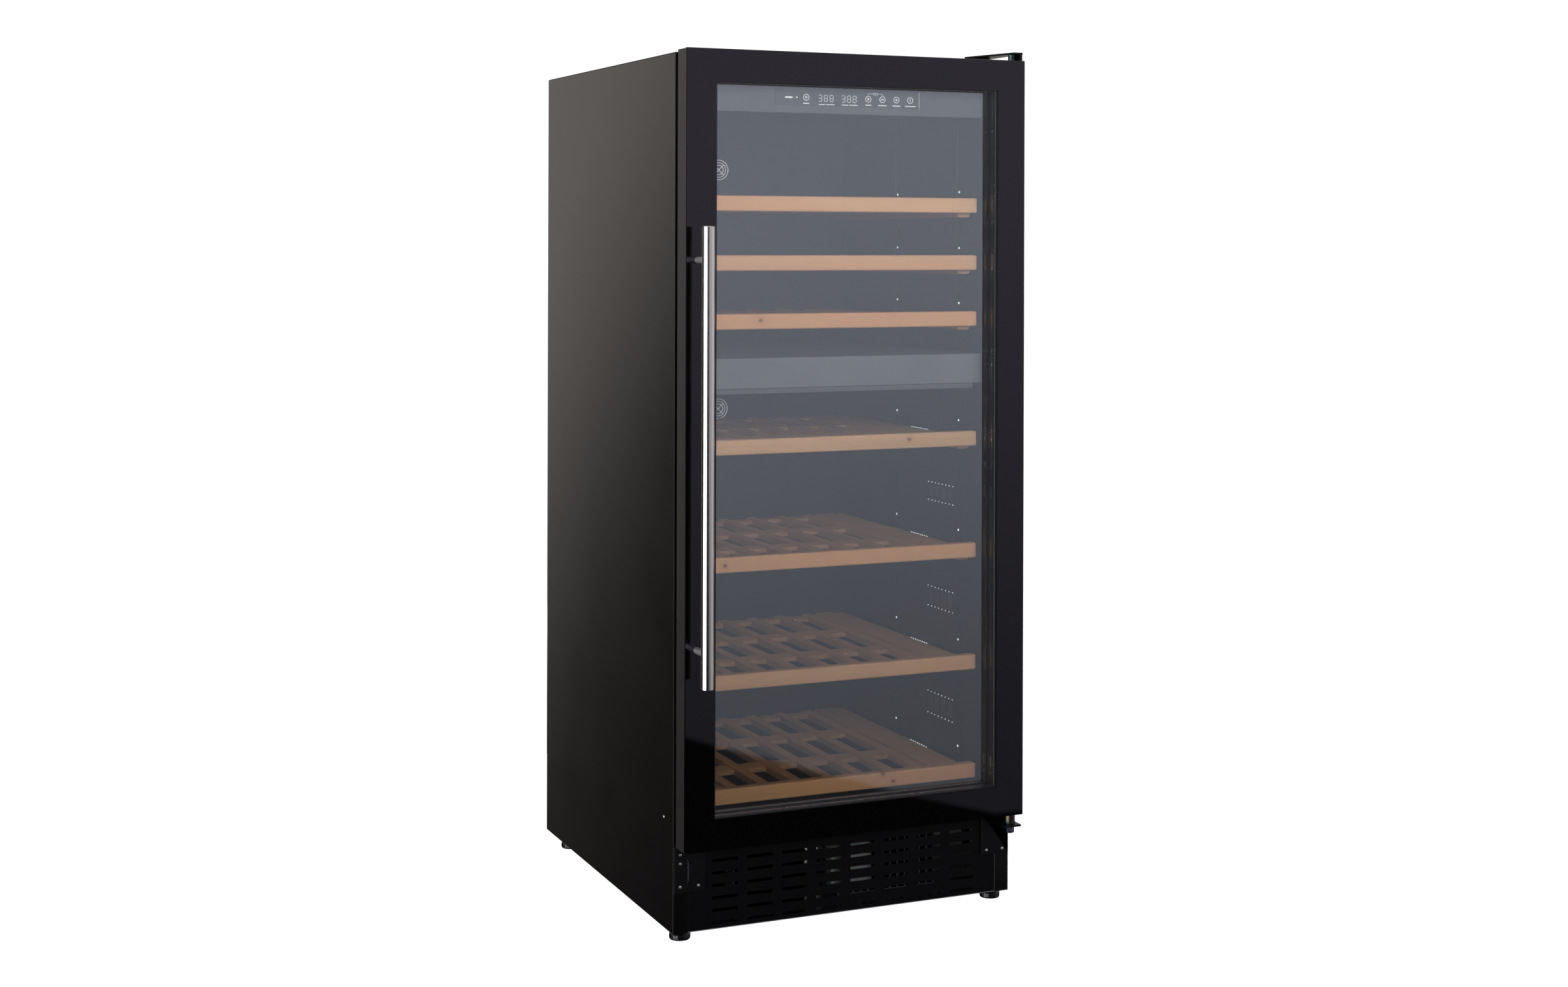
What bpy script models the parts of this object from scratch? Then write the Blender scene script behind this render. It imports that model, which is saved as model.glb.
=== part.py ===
"""A tall wine cooler with two temperature zones, a full-face glass door and slatted beech shelves.

Metres, +Z up. The front faces -Y and +X is to the right, seen from the front. The origin is on the
floor, under the middle of the object's outer box. Depths are counted back from the door's front face.
"""

import math

import bmesh
import bpy
from mathutils import Matrix, Vector

# ---- driving dimensions -------------------------------------------------------------------------

WIDTH = 0.595
HALF_WIDTH = WIDTH / 2
CABINET_DEPTH = 0.656
CABINET_BOTTOM = 0.0145
CABINET_TOP = 1.386
DOOR_BOTTOM = 0.152
DOOR_TOP = 1.3895
DOOR_THICKNESS = 0.039
DOOR_GAP = 0.010
BAR_RADIUS = 0.0101
BAR_STANDOFF = 0.0465

# Depths behind the door's front face.
CABINET_FRONT = DOOR_THICKNESS + DOOR_GAP
CABINET_BACK = CABINET_FRONT + CABINET_DEPTH
BAR_FRONT = BAR_STANDOFF + BAR_RADIUS
DOOR_FRONT_Y = (BAR_FRONT - CABINET_BACK) / 2

GAP = 0.0003
SHEET = 0.0012
PLATE = 0.0025

# The inside of the cabinet.
LINER_HALF_WIDTH = 0.2525
LINER_FLOOR = 0.1855
LINER_CEILING = 1.346
LINER_BACK = 0.655
COMPARTMENT_TOP = 0.152
COVER_FRONT = 0.609
DIVIDER_BOTTOM = 0.8585
DIVIDER_TOP = 0.907
HEADER_BOTTOM = 1.2965

# The shelves, from the top one down: the height of each front rail's top edge.
SHELF_TOPS = (1.1645, 1.0700, 0.9770, 0.7785, 0.5930, 0.4075, 0.2275)
UPPER_SHELVES = 3
RAIL_HALF_LENGTH = 0.245
RAIL_HEIGHT = 0.025
RAIL_THICKNESS = 0.018
SHELF_FRONT = 0.0646
SHELF_BACK = 0.585
LATTICE_DROP = 0.011
LATTICE_THICKNESS = 0.012
SLAT_PITCH = 0.0567
SLAT_WIDTH = 0.018
SLATS = 7
CROSS_STARTS = (0.224, 0.394, 0.557)
CROSS_WIDTH = 0.040
BOARD_EDGE = 0.187
RUNNER_BLOCK_INNER = 0.2225
RUNNER_BLOCK_OUTER = 0.2462
RUNNER_BLOCK_DROP = 0.032

# The door.
WINDOW_LIP_HALF_WIDTH = 0.2435
WINDOW_LIP_BOTTOM = 0.2035
WINDOW_LIP_TOP = 1.3365
PANE_REST = 0.009
GLASS = 0.004
PANE_FRONT = 0.026
GASKET_INSET = 0.020
GASKET_WIDTH = 0.016
PIN_X = 0.2815
PIN_DEPTH = 0.016
PIN_RADIUS = 0.004
PIN_SOCKET = 0.014
HINGE_CLEARANCE = 0.0105

# The handle.
BAR_X = -0.2789
BAR_BOTTOM = 0.412
BAR_TOP = 1.115
POST_RADIUS = 0.005
POST_INSET = 0.052

# Kick plate and its grille.
KICK_HALF_WIDTH = 0.2715
KICK_TOP = 0.1505
SLOT_COLUMNS = 8
SLOT_ROWS = 6
SLOT_PITCH_X = 0.060
SLOT_PITCH_Z = 0.0194
SLOT_LENGTH = 0.044
SLOT_HEIGHT = 0.005
TOP_SLOT = 0.1217
BRACKET_INNER = 0.2458
BRACKET_OUTER = 0.2960
BRACKET_BOTTOM = 0.0785
ARM_BOTTOM = 0.1320
ARM_THICKNESS = 0.0035

# Feet.
FOOT_X = 0.2765
FOOT_DEPTHS = (0.074, 0.625)
FOOT_RADIUS = 0.017

# Fans.
VENT_HEIGHTS = (1.2231, 0.7826)
VENT_RADIUS = 0.0187
FAN_HEIGHTS = (1.100, 0.640)
FAN_SIZE = 0.090
CONDENSER_FAN_X = 0.110
CONDENSER_FAN_DEPTH = 0.230
CONDENSER_FAN_HEIGHT = 0.082
CONDENSER_FAN_SIZE = 0.110
ROTOR_BLADES = 5


def at(depth):
    """The Y coordinate of a depth behind the door's front face."""
    return DOOR_FRONT_Y + depth


# ---- scene, collections and materials -----------------------------------------------------------

for leftover in list(bpy.data.objects):
    bpy.data.objects.remove(leftover, do_unlink=True)

cooler = bpy.data.collections.new("wine_cooler")
cutters = bpy.data.collections.new("cutters")
bpy.context.scene.collection.children.link(cooler)
bpy.context.scene.collection.children.link(cutters)


def material(name, colour, roughness, metallic=0.0):
    made = bpy.data.materials.new(name)
    made.use_nodes = True
    shader = made.node_tree.nodes["Principled BSDF"]
    shader.inputs["Base Color"].default_value = (*colour, 1)
    shader.inputs["Roughness"].default_value = roughness
    shader.inputs["Metallic"].default_value = metallic
    made.diffuse_color = (*colour, 1)
    return made


BLACK_COAT = material("black_coat", (0.020, 0.019, 0.019), 0.45)
BLACK_PLASTIC = material("black_plastic", (0.016, 0.017, 0.018), 0.55)
BLACK_GLASS = material("black_glass", (0.012, 0.012, 0.014), 0.05)
CLEAR_GLASS = material("clear_glass", (0.55, 0.60, 0.62), 0.03)
RUBBER = material("rubber", (0.015, 0.015, 0.015), 0.8)
BRUSHED_STEEL = material("brushed_steel", (0.62, 0.60, 0.57), 0.28, 1.0)
ZINC_STEEL = material("zinc_steel", (0.55, 0.56, 0.57), 0.4, 1.0)
ALUMINIUM = material("aluminium", (0.70, 0.71, 0.72), 0.35, 1.0)
BEECH = material("beech", (0.62, 0.41, 0.22), 0.5)
FOAM = material("foam", (0.75, 0.68, 0.45), 0.9)
LIGHT_COVER = material("light_cover", (0.80, 0.82, 0.84), 0.4)
GREEN_BOARD = material("green_board", (0.05, 0.22, 0.10), 0.5)


# ---- helpers ------------------------------------------------------------------------------------


def empty(name, place):
    made = bpy.data.objects.new(name, None)
    cooler.objects.link(made)
    made.location = place
    return made


def put(name, mesh_or_curve, finish, place=(0, 0, 0), group=cooler):
    made = bpy.data.objects.new(name, mesh_or_curve)
    group.objects.link(made)
    made.location = place
    if finish:
        mesh_or_curve.materials.append(finish)
    return made


def boxes_mesh(name, boxes):
    """One mesh holding a block for each (low corner, high corner)."""
    mesh = bpy.data.meshes.new(name)
    work = bmesh.new()
    for low, high in boxes:
        low, high = Vector(low), Vector(high)
        size = high - low
        fit = Matrix.Translation((low + high) / 2) @ Matrix.Diagonal((*size, 1))
        bmesh.ops.create_cube(work, size=1, matrix=fit)
    work.to_mesh(mesh)
    work.free()
    return mesh


def block(name, finish, x, depth, z):
    """A block between the pairs x, depth and z, its object at its centre."""
    low = Vector((x[0], at(depth[0]), z[0]))
    high = Vector((x[1], at(depth[1]), z[1]))
    centre = (low + high) / 2
    return put(name, boxes_mesh(name, [(low - centre, high - centre)]), finish, centre)


def space(x, depth, z):
    """The two corners, in the row frame, of the box between the pairs x, depth and z."""
    return (x[0], at(depth[0]), z[0]), (x[1], at(depth[1]), z[1])


def cutter(name, boxes):
    made = put(name, boxes_mesh(name, boxes), None, group=cutters)
    made.hide_render = True
    made.display_type = "WIRE"
    return made


def combine(target, tool, operation):
    tool.hide_render = True
    tool.display_type = "WIRE"
    added = target.modifiers.new(f"{operation.lower()} {tool.name}", "BOOLEAN")
    added.object = tool
    added.operation = operation
    return target


def hide_as_tool(made):
    cooler.objects.unlink(made)
    cutters.objects.link(made)
    return made


def outline_curve(name, outlines, thickness):
    """A flat curve in its own XY plane with one closed line for each list of points, given a thickness."""
    curve = bpy.data.curves.new(name, "CURVE")
    curve.dimensions = "2D"
    curve.fill_mode = "BOTH"
    curve.extrude = thickness / 2
    for points in outlines:
        line = curve.splines.new("POLY")
        line.points.add(len(points) - 1)
        for point, (x, y) in zip(line.points, points):
            point.co = (x, y, 0, 1)
        line.use_cyclic_u = True
    return curve


STANDING = (math.pi / 2, 0, 0)


def standing_plate(name, finish, outlines, depth):
    """A plate whose outlines are (x, z) points, between two depths."""
    made = put(name, outline_curve(name, outlines, depth[1] - depth[0]), finish)
    made.rotation_euler = STANDING
    made.location = (0, at((depth[0] + depth[1]) / 2), 0)
    return made


def lying_plate(name, finish, outlines, z):
    """A plate whose outlines are (x, depth) points, between two heights."""
    flat = [[(x, at(depth)) for x, depth in points] for points in outlines]
    made = put(name, outline_curve(name, flat, z[1] - z[0]), finish)
    made.location = (0, 0, (z[0] + z[1]) / 2)
    return made


def side_profile(name, finish, points, x):
    """A prism along X whose section is (depth, z) points."""
    flat = [(at(depth), z) for depth, z in points]
    made = put(name, outline_curve(name, [flat], x[1] - x[0]), finish)
    made.matrix_world = Matrix.Translation(((x[0] + x[1]) / 2, 0, 0)) @ Matrix(
        ((0, 0, 1, 0), (1, 0, 0, 0), (0, 1, 0, 0), (0, 0, 0, 1))
    )
    return made


def as_mesh(made):
    """The curve object made into a mesh object of the same name and place, its caps welded."""
    bpy.context.view_layer.update()
    graph = bpy.context.evaluated_depsgraph_get()
    mesh = bpy.data.meshes.new_from_object(made.evaluated_get(graph))
    work = bmesh.new()
    work.from_mesh(mesh)
    bmesh.ops.remove_doubles(work, verts=work.verts, dist=0.00001)
    bmesh.ops.recalc_face_normals(work, faces=work.faces)
    work.to_mesh(mesh)
    work.free()
    name, place, group = made.name, made.matrix_world.copy(), made.users_collection[0]
    bpy.data.objects.remove(made)
    made = bpy.data.objects.new(name, mesh)
    group.objects.link(made)
    made.matrix_world = place
    return made


def rectangle(half_width, low, high):
    return [(-half_width, low), (half_width, low), (half_width, high), (-half_width, high)]


def circle(x, y, radius, corners):
    turns = [2 * math.pi * n / corners for n in range(corners)]
    return [(x + radius * math.cos(turn), y + radius * math.sin(turn)) for turn in turns]


def turned(name, finish, profile, place, axis="Z", steps=24):
    """A turned solid. The profile is (radius, height) points from the axis's top down the outer side."""
    mesh = bpy.data.meshes.new(name)
    work = bmesh.new()
    corners = [work.verts.new((radius, 0, height)) for radius, height in profile]
    for upper, lower in zip(corners, corners[1:]):
        work.edges.new((upper, lower))
    work.to_mesh(mesh)
    work.free()
    made = put(name, mesh, finish, place)
    if axis == "Y":
        made.rotation_euler = STANDING
    spin = made.modifiers.new("turn", "SCREW")
    spin.steps = steps
    spin.render_steps = steps
    spin.use_merge_vertices = True
    spin.merge_threshold = 0.00001
    spin.use_smooth_shade = False
    return made


def child_of(parent, *pieces):
    for piece in pieces:
        bpy.context.view_layer.update()
        place = piece.matrix_world.copy()
        piece.parent = parent
        piece.matrix_parent_inverse = parent.matrix_world.inverted()
        piece.matrix_world = place


# ---- cabinet ------------------------------------------------------------------------------------

FLANGE_INNER = 0.272
PANEL_BACK = CABINET_BACK - SHEET - GAP
PANEL_TOP = CABINET_TOP - SHEET - GAP
INSIDE_HALF_WIDTH = HALF_WIDTH - SHEET - GAP


def side_panel(name, side):
    """A flat side sheet with a flange turned in along its front edge."""
    outer = side * HALF_WIDTH
    inner = side * (HALF_WIDTH - SHEET)
    section = [
        (outer, CABINET_FRONT),
        (outer, PANEL_BACK),
        (inner, PANEL_BACK),
        (inner, CABINET_FRONT + SHEET),
        (side * FLANGE_INNER, CABINET_FRONT + SHEET),
        (side * FLANGE_INNER, CABINET_FRONT),
    ]
    return lying_plate(name, BLACK_COAT, [section], (CABINET_BOTTOM, PANEL_TOP))


def liner():
    """The moulded inner tub, open at the front, with a flange round its mouth."""
    wall = SHEET
    tub = block(
        "liner",
        BLACK_PLASTIC,
        (-LINER_HALF_WIDTH - wall, LINER_HALF_WIDTH + wall),
        (CABINET_FRONT, LINER_BACK + wall),
        (LINER_FLOOR - wall, LINER_CEILING + wall),
    )
    flange = space(
        (-KICK_HALF_WIDTH, KICK_HALF_WIDTH),
        (CABINET_FRONT, CABINET_FRONT + wall),
        (KICK_TOP + GAP, PANEL_TOP - GAP),
    )
    inside = space(
        (-LINER_HALF_WIDTH, LINER_HALF_WIDTH),
        (CABINET_FRONT - 0.01, LINER_BACK),
        (LINER_FLOOR, LINER_CEILING),
    )
    combine(tub, cutter("liner_flange", [flange]), "UNION")
    return combine(tub, cutter("liner_inside", [inside]), "DIFFERENCE")


def insulation():
    """Foam between the outer sheets and the tub, above the machine compartment."""
    foam = block(
        "insulation_foam",
        FOAM,
        (-INSIDE_HALF_WIDTH, INSIDE_HALF_WIDTH),
        (CABINET_FRONT + SHEET + GAP, PANEL_BACK),
        (COMPARTMENT_TOP + GAP, PANEL_TOP - GAP),
    )
    room = SHEET + GAP
    tub = space(
        (-LINER_HALF_WIDTH - room, LINER_HALF_WIDTH + room),
        (CABINET_FRONT - 0.01, LINER_BACK + room),
        (LINER_FLOOR - room, LINER_CEILING + room),
    )
    return combine(foam, cutter("foam_inside", [tub]), "DIFFERENCE")


def kick_grille():
    """The plate below the door, with rows of horizontal air slots."""
    outlines = [rectangle(KICK_HALF_WIDTH, CABINET_BOTTOM + SHEET + 2 * GAP, KICK_TOP)]
    for row in range(SLOT_ROWS):
        z = TOP_SLOT - row * SLOT_PITCH_Z
        for column in range(SLOT_COLUMNS):
            x = (column - (SLOT_COLUMNS - 1) / 2) * SLOT_PITCH_X
            left, right = x - SLOT_LENGTH / 2, x + SLOT_LENGTH / 2
            low, high = z - SLOT_HEIGHT / 2, z + SLOT_HEIGHT / 2
            outlines.append([(left, low), (right, low), (right, high), (left, high)])
    return standing_plate(
        "kick_grille", BLACK_COAT, outlines, (CABINET_FRONT, CABINET_FRONT + SHEET)
    )


side_panel("side_panel_left", -1)
side_panel("side_panel_right", 1)
block(
    "top_panel",
    BLACK_COAT,
    (-HALF_WIDTH, HALF_WIDTH),
    (CABINET_FRONT, CABINET_BACK),
    (CABINET_TOP - SHEET, CABINET_TOP),
)
block(
    "rear_panel",
    BLACK_COAT,
    (-HALF_WIDTH, HALF_WIDTH),
    (CABINET_BACK - SHEET, CABINET_BACK),
    (COMPARTMENT_TOP, PANEL_TOP),
)
block(
    "base_pan",
    ZINC_STEEL,
    (-INSIDE_HALF_WIDTH, INSIDE_HALF_WIDTH),
    (CABINET_FRONT + SHEET + GAP, PANEL_BACK),
    (CABINET_BOTTOM, CABINET_BOTTOM + SHEET),
)
liner()
insulation()
kick_grille()

# ---- inside: divider, header, lights, air covers --------------------------------------------------

FITTING_HALF_WIDTH = LINER_HALF_WIDTH - GAP
HEADER_FRONT = 0.0515
HEADER_THICKNESS = 0.012
CONTROL_HALF_WIDTH = 0.1285
CONTROL_BOTTOM = 1.309
CONTROL_TOP = 1.336
LIGHT_HALF_WIDTH = 0.235
LIGHT_DEPTH = 0.010
LIGHT_HEIGHT = 0.008
COVER_MARGIN = 0.005
DIVIDER_FRONT = 0.060
CONTROL_THICKNESS = 0.0015
COVER_THICKNESS = 0.002
COVER_TOP_MARGIN = 0.008
COVER_UNDER_DIVIDER = 0.010
FILTER_LIP = 0.0025
FILTER_FLANGE = 0.003
FILTER_CHAMFER = 0.001
FILTER_BODY = 0.006
FAN_THICKNESS = 0.024
FAN_WALL = 0.004
FAN_STRUT_HALF = 0.008
FAN_STRUT_THICKNESS = 0.004
HUB_SHARE = 0.19
BLADE_CLEARANCE = 0.004
BLADE_WIDTH = 0.012
ROTOR_DEPTH = 0.009
BLADE_SPAN = (0.0, 0.10, 0.75, 0.85)
FAN_FRONT = COVER_FRONT + COVER_THICKNESS + 0.0005
EVAPORATOR_HALF_WIDTH = 0.20
EVAPORATOR_DEPTH = (0.646, 0.648)
EVAPORATOR_BELOW = 0.15
EVAPORATOR_ABOVE = 0.17
MARGIN = 0.001

block(
    "zone_divider",
    BLACK_PLASTIC,
    (-FITTING_HALF_WIDTH, FITTING_HALF_WIDTH),
    (DIVIDER_FRONT, COVER_FRONT - GAP),
    (DIVIDER_BOTTOM, DIVIDER_TOP),
)
block(
    "header_fascia",
    BLACK_PLASTIC,
    (-FITTING_HALF_WIDTH, FITTING_HALF_WIDTH),
    (HEADER_FRONT, HEADER_FRONT + HEADER_THICKNESS),
    (HEADER_BOTTOM, LINER_CEILING - GAP),
)
block(
    "control_panel",
    BLACK_GLASS,
    (-CONTROL_HALF_WIDTH, CONTROL_HALF_WIDTH),
    (HEADER_FRONT - CONTROL_THICKNESS - GAP, HEADER_FRONT - GAP),
    (CONTROL_BOTTOM, CONTROL_TOP),
)
light_front = HEADER_FRONT + HEADER_THICKNESS + GAP
block(
    "light_strip_upper",
    LIGHT_COVER,
    (-LIGHT_HALF_WIDTH, LIGHT_HALF_WIDTH),
    (light_front, light_front + LIGHT_DEPTH),
    (LINER_CEILING - GAP - LIGHT_HEIGHT, LINER_CEILING - GAP),
)
block(
    "light_strip_lower",
    LIGHT_COVER,
    (-LIGHT_HALF_WIDTH, LIGHT_HALF_WIDTH),
    (DIVIDER_FRONT, DIVIDER_FRONT + LIGHT_DEPTH),
    (DIVIDER_BOTTOM - GAP - LIGHT_HEIGHT, DIVIDER_BOTTOM - GAP),
)


def air_cover(name, low, high, vent_height):
    outlines = [
        rectangle(FITTING_HALF_WIDTH, low, high),
        circle(0, vent_height, VENT_RADIUS - FILTER_LIP + GAP, 24),
    ]
    return standing_plate(name, BLACK_PLASTIC, outlines, (COVER_FRONT, COVER_FRONT + COVER_THICKNESS))


def charcoal_filter(name, vent_height):
    """A round filter cartridge: a flange in front of the cover and a body through its hole."""
    body = VENT_RADIUS - FILTER_LIP
    profile = [
        (0, FILTER_FLANGE),
        (VENT_RADIUS - FILTER_CHAMFER, FILTER_FLANGE),
        (VENT_RADIUS, FILTER_FLANGE - FILTER_CHAMFER),
        (VENT_RADIUS, GAP),
        (body, GAP),
        (body, -FILTER_BODY),
        (0, -FILTER_BODY),
    ]
    return turned(name, BLACK_PLASTIC, profile, (0, at(COVER_FRONT), vent_height), "Y")


def fan_housing(name, x, depth, z, size):
    """A square fan frame with a round air way and a strut behind it that carries the motor."""
    half, back = size / 2, depth + FAN_THICKNESS
    square = [(x - half, z - half), (x + half, z - half), (x + half, z + half), (x - half, z + half)]
    outlines = [square, circle(x, z, half - FAN_WALL, 24)]
    frame = as_mesh(standing_plate(name, BLACK_PLASTIC, outlines, (depth, back)))
    strut = space(
        (x - half + MARGIN, x + half - MARGIN),
        (back - MARGIN - FAN_STRUT_THICKNESS, back - MARGIN),
        (z - FAN_STRUT_HALF, z + FAN_STRUT_HALF),
    )
    return combine(frame, cutter(f"{name}_strut", [strut]), "UNION")


def fan_rotor(name, x, depth, z, size):
    """A hub with flat blades, its object on the axle."""
    hub, tip = size * HUB_SHARE, size / 2 - FAN_WALL - BLADE_CLEARANCE
    points = []
    for blade in range(ROTOR_BLADES):
        start = 2 * math.pi * blade / ROTOR_BLADES
        for radius, turn in zip((hub, tip, tip, hub), BLADE_SPAN):
            points.append((radius * math.cos(start + turn), radius * math.sin(start + turn)))
    place = (x, at(depth + ROTOR_DEPTH), z)
    made = put(name, outline_curve(name, [points], BLADE_WIDTH), BLACK_PLASTIC, place)
    made.rotation_euler = STANDING
    return made


cover_ranges = (
    (DIVIDER_TOP + COVER_MARGIN, LINER_CEILING - COVER_TOP_MARGIN),
    (LINER_FLOOR + COVER_MARGIN, DIVIDER_BOTTOM - COVER_UNDER_DIVIDER),
)
for zone, (low, high), vent_height, fan_height in zip(
    ("upper", "lower"), cover_ranges, VENT_HEIGHTS, FAN_HEIGHTS
):
    air_cover(f"air_cover_{zone}", low, high, vent_height)
    charcoal_filter(f"charcoal_filter_{zone}", vent_height)
    fan_housing(f"fan_housing_{zone}", 0, FAN_FRONT, fan_height, FAN_SIZE)
    fan_rotor(f"fan_rotor_{zone}", 0, FAN_FRONT, fan_height, FAN_SIZE)
    block(
        f"evaporator_{zone}",
        ALUMINIUM,
        (-EVAPORATOR_HALF_WIDTH, EVAPORATOR_HALF_WIDTH),
        EVAPORATOR_DEPTH,
        (fan_height - EVAPORATOR_BELOW, fan_height + EVAPORATOR_ABOVE),
    )

# ---- shelves and their runners --------------------------------------------------------------------

OVERLAP = 0.001
FRONT_BOARD = 0.020
BLOCK_CHAMFER = 0.008
LEG_THICKNESS = 0.0030
LEG_HEIGHT = 0.020
LIP_REACH = 0.0140
LIP_THICKNESS = 0.0015
UPRIGHT_DEPTHS = (0.1312, 0.3651)
UPRIGHT_WIDTH = 0.014
UPRIGHT_BELOW = 0.040
UPRIGHT_ABOVE = 0.030
ANGLE_DEPTH = (0.095, 0.575)
LIP_INSET = 0.0005


def shelf_mesh():
    """One beech rack, at height 0 on its front rail's top edge: rail, slats, cross pieces, runner blocks."""
    low, high = -LATTICE_DROP - LATTICE_THICKNESS, -LATTICE_DROP
    rail_back = SHELF_FRONT + RAIL_THICKNESS
    half_board = RUNNER_BLOCK_INNER + OVERLAP
    board = space((-half_board, half_board), (rail_back - OVERLAP, SHELF_BACK), (low, high))
    rack = put("rack", boxes_mesh("rack", [board]), BEECH)
    slat_edges = [-BOARD_EDGE]
    for slat in range(SLATS):
        centre = (slat - (SLATS - 1) / 2) * SLAT_PITCH
        slat_edges += [centre - SLAT_WIDTH / 2, centre + SLAT_WIDTH / 2]
    slat_edges.append(BOARD_EDGE)
    gaps_across = list(zip(slat_edges[::2], slat_edges[1::2]))
    ends = [rail_back - OVERLAP + FRONT_BOARD]
    for start in CROSS_STARTS:
        ends += [start, start + CROSS_WIDTH]
    gaps_along = list(zip(ends[0:-1:2], ends[1:-1:2]))
    openings = [
        space(across, along, (low - LATTICE_THICKNESS, high + LATTICE_THICKNESS))
        for across in gaps_across
        for along in gaps_along
    ]
    combine(rack, cutter("rack_openings", openings), "DIFFERENCE")
    rail_ends = (-RAIL_HALF_LENGTH, RAIL_HALF_LENGTH)
    rail = space(rail_ends, (SHELF_FRONT, rail_back), (-RAIL_HEIGHT, 0))
    combine(rack, cutter("rack_rail", [rail]), "UNION")
    block_front, block_back = rail_back - 2 * OVERLAP, SHELF_BACK - OVERLAP
    section = [
        (block_front, -LATTICE_DROP - OVERLAP),
        (block_back, -LATTICE_DROP - OVERLAP),
        (block_back, -RUNNER_BLOCK_DROP),
        (block_front + BLOCK_CHAMFER, -RUNNER_BLOCK_DROP),
        (block_front, -RUNNER_BLOCK_DROP + BLOCK_CHAMFER),
    ]
    for side in (-1, 1):
        ends = sorted((side * RUNNER_BLOCK_INNER, side * RUNNER_BLOCK_OUTER))
        runner_block = hide_as_tool(side_profile(f"rack_block_{side}", None, section, ends))
        combine(rack, as_mesh(runner_block), "UNION")
    bpy.context.view_layer.update()
    graph = bpy.context.evaluated_depsgraph_get()
    mesh = bpy.data.meshes.new_from_object(rack.evaluated_get(graph))
    mesh.name = "beech_rack"
    bpy.data.objects.remove(rack)
    return mesh


def runner_frame(name, side, tops):
    """The fixed ladder on one wall of a zone: two uprights, and an angle rail under each shelf."""
    wall = LINER_HALF_WIDTH - GAP
    front, back = ANGLE_DEPTH
    height = (min(tops) - UPRIGHT_BELOW, max(tops) + UPRIGHT_ABOVE)
    boxes = []
    for depth in UPRIGHT_DEPTHS:
        boxes.append(((wall - LIP_THICKNESS, wall), (depth, depth + UPRIGHT_WIDTH), height))
    for top in tops:
        under = top - RUNNER_BLOCK_DROP - GAP
        leg = (wall - LEG_THICKNESS, wall - 0.0002)
        lip = (wall - LIP_REACH, wall - 0.0010)
        lip_depth = (front + LIP_INSET, back - LIP_INSET)
        boxes.append((leg, (front, back), (under - LIP_THICKNESS, under + LEG_HEIGHT)))
        boxes.append((lip, lip_depth, (under - LIP_THICKNESS - 0.0001, under)))
    solids = [space(tuple(sorted((side * x[0], side * x[1]))), depth, z) for x, depth, z in boxes]
    frame = put(name, boxes_mesh(name, solids[:1]), ZINC_STEEL)
    for number, solid in enumerate(solids[1:]):
        combine(frame, cutter(f"{name}_{number}", [solid]), "UNION")
    return frame


rack_mesh = shelf_mesh()
for number, top in enumerate(SHELF_TOPS, 1):
    put(f"shelf_{number}", rack_mesh, None, (0, 0, top))
zones = {"upper": SHELF_TOPS[:UPPER_SHELVES], "lower": SHELF_TOPS[UPPER_SHELVES:]}
for zone, tops in zones.items():
    runner_frame(f"runner_frame_{zone}_left", -1, tops)
    runner_frame(f"runner_frame_{zone}_right", 1, tops)

# ---- door -----------------------------------------------------------------------------------------

door_axis = empty("door_axis", (PIN_X, at(PIN_DEPTH), 0))
FRAME_HALF_WIDTH = HALF_WIDTH - 0.0005
PANE_HALF_WIDTH = WINDOW_LIP_HALF_WIDTH + PANE_REST
PANE_BOTTOM = WINDOW_LIP_BOTTOM - PANE_REST
PANE_TOP = WINDOW_LIP_TOP + PANE_REST


def door_frame():
    """The ring that carries both panes, rebated for the inner one, with a blind socket for each hinge pin."""
    frame = block(
        "door_frame",
        BLACK_PLASTIC,
        (-FRAME_HALF_WIDTH, FRAME_HALF_WIDTH),
        (GLASS + GAP, DOOR_THICKNESS),
        (DOOR_BOTTOM + 0.0005, DOOR_TOP - 0.0005),
    )
    sight = space(
        (-WINDOW_LIP_HALF_WIDTH, WINDOW_LIP_HALF_WIDTH),
        (-0.01, DOOR_THICKNESS + 0.01),
        (WINDOW_LIP_BOTTOM, WINDOW_LIP_TOP),
    )
    rebate = space(
        (-PANE_HALF_WIDTH - GAP, PANE_HALF_WIDTH + GAP),
        (-0.01, PANE_FRONT + GLASS + GAP),
        (PANE_BOTTOM - GAP, PANE_TOP + GAP),
    )
    combine(frame, cutter("door_sight", [sight]), "DIFFERENCE")
    combine(frame, cutter("door_rebate", [rebate]), "DIFFERENCE")
    bore = PIN_RADIUS + GAP
    for name, z in (("socket_top", DOOR_TOP - PIN_SOCKET), ("socket_bottom", DOOR_BOTTOM - PIN_SOCKET)):
        hole = outline_curve(name, [circle(PIN_X, at(PIN_DEPTH), bore, 24)], 2 * PIN_SOCKET)
        made = put(name, hole, None, (0, 0, z + PIN_SOCKET), cutters)
        combine(frame, as_mesh(made), "DIFFERENCE")
    return frame


def ring(name, finish, outer_half_width, low, high, width, depth):
    outlines = [
        rectangle(outer_half_width, low, high),
        rectangle(outer_half_width - width, low + width, high - width),
    ]
    return standing_plate(name, finish, outlines, depth)


def handle_post(name, z):
    length = BAR_STANDOFF - BAR_RADIUS - 2 * GAP
    profile = [(0, length), (POST_RADIUS, length), (POST_RADIUS, 0), (0, 0)]
    return turned(name, BRUSHED_STEEL, profile, (BAR_X, at(-GAP), z), "Y", 20)


def handle_bar():
    edge = 0.0008
    profile = [
        (0, BAR_TOP),
        (BAR_RADIUS - edge, BAR_TOP),
        (BAR_RADIUS, BAR_TOP - edge),
        (BAR_RADIUS, BAR_BOTTOM + edge),
        (BAR_RADIUS - edge, BAR_BOTTOM),
        (0, BAR_BOTTOM),
    ]
    return turned("handle_bar", BRUSHED_STEEL, profile, (BAR_X, at(-BAR_STANDOFF), 0), "Z", 32)


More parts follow.
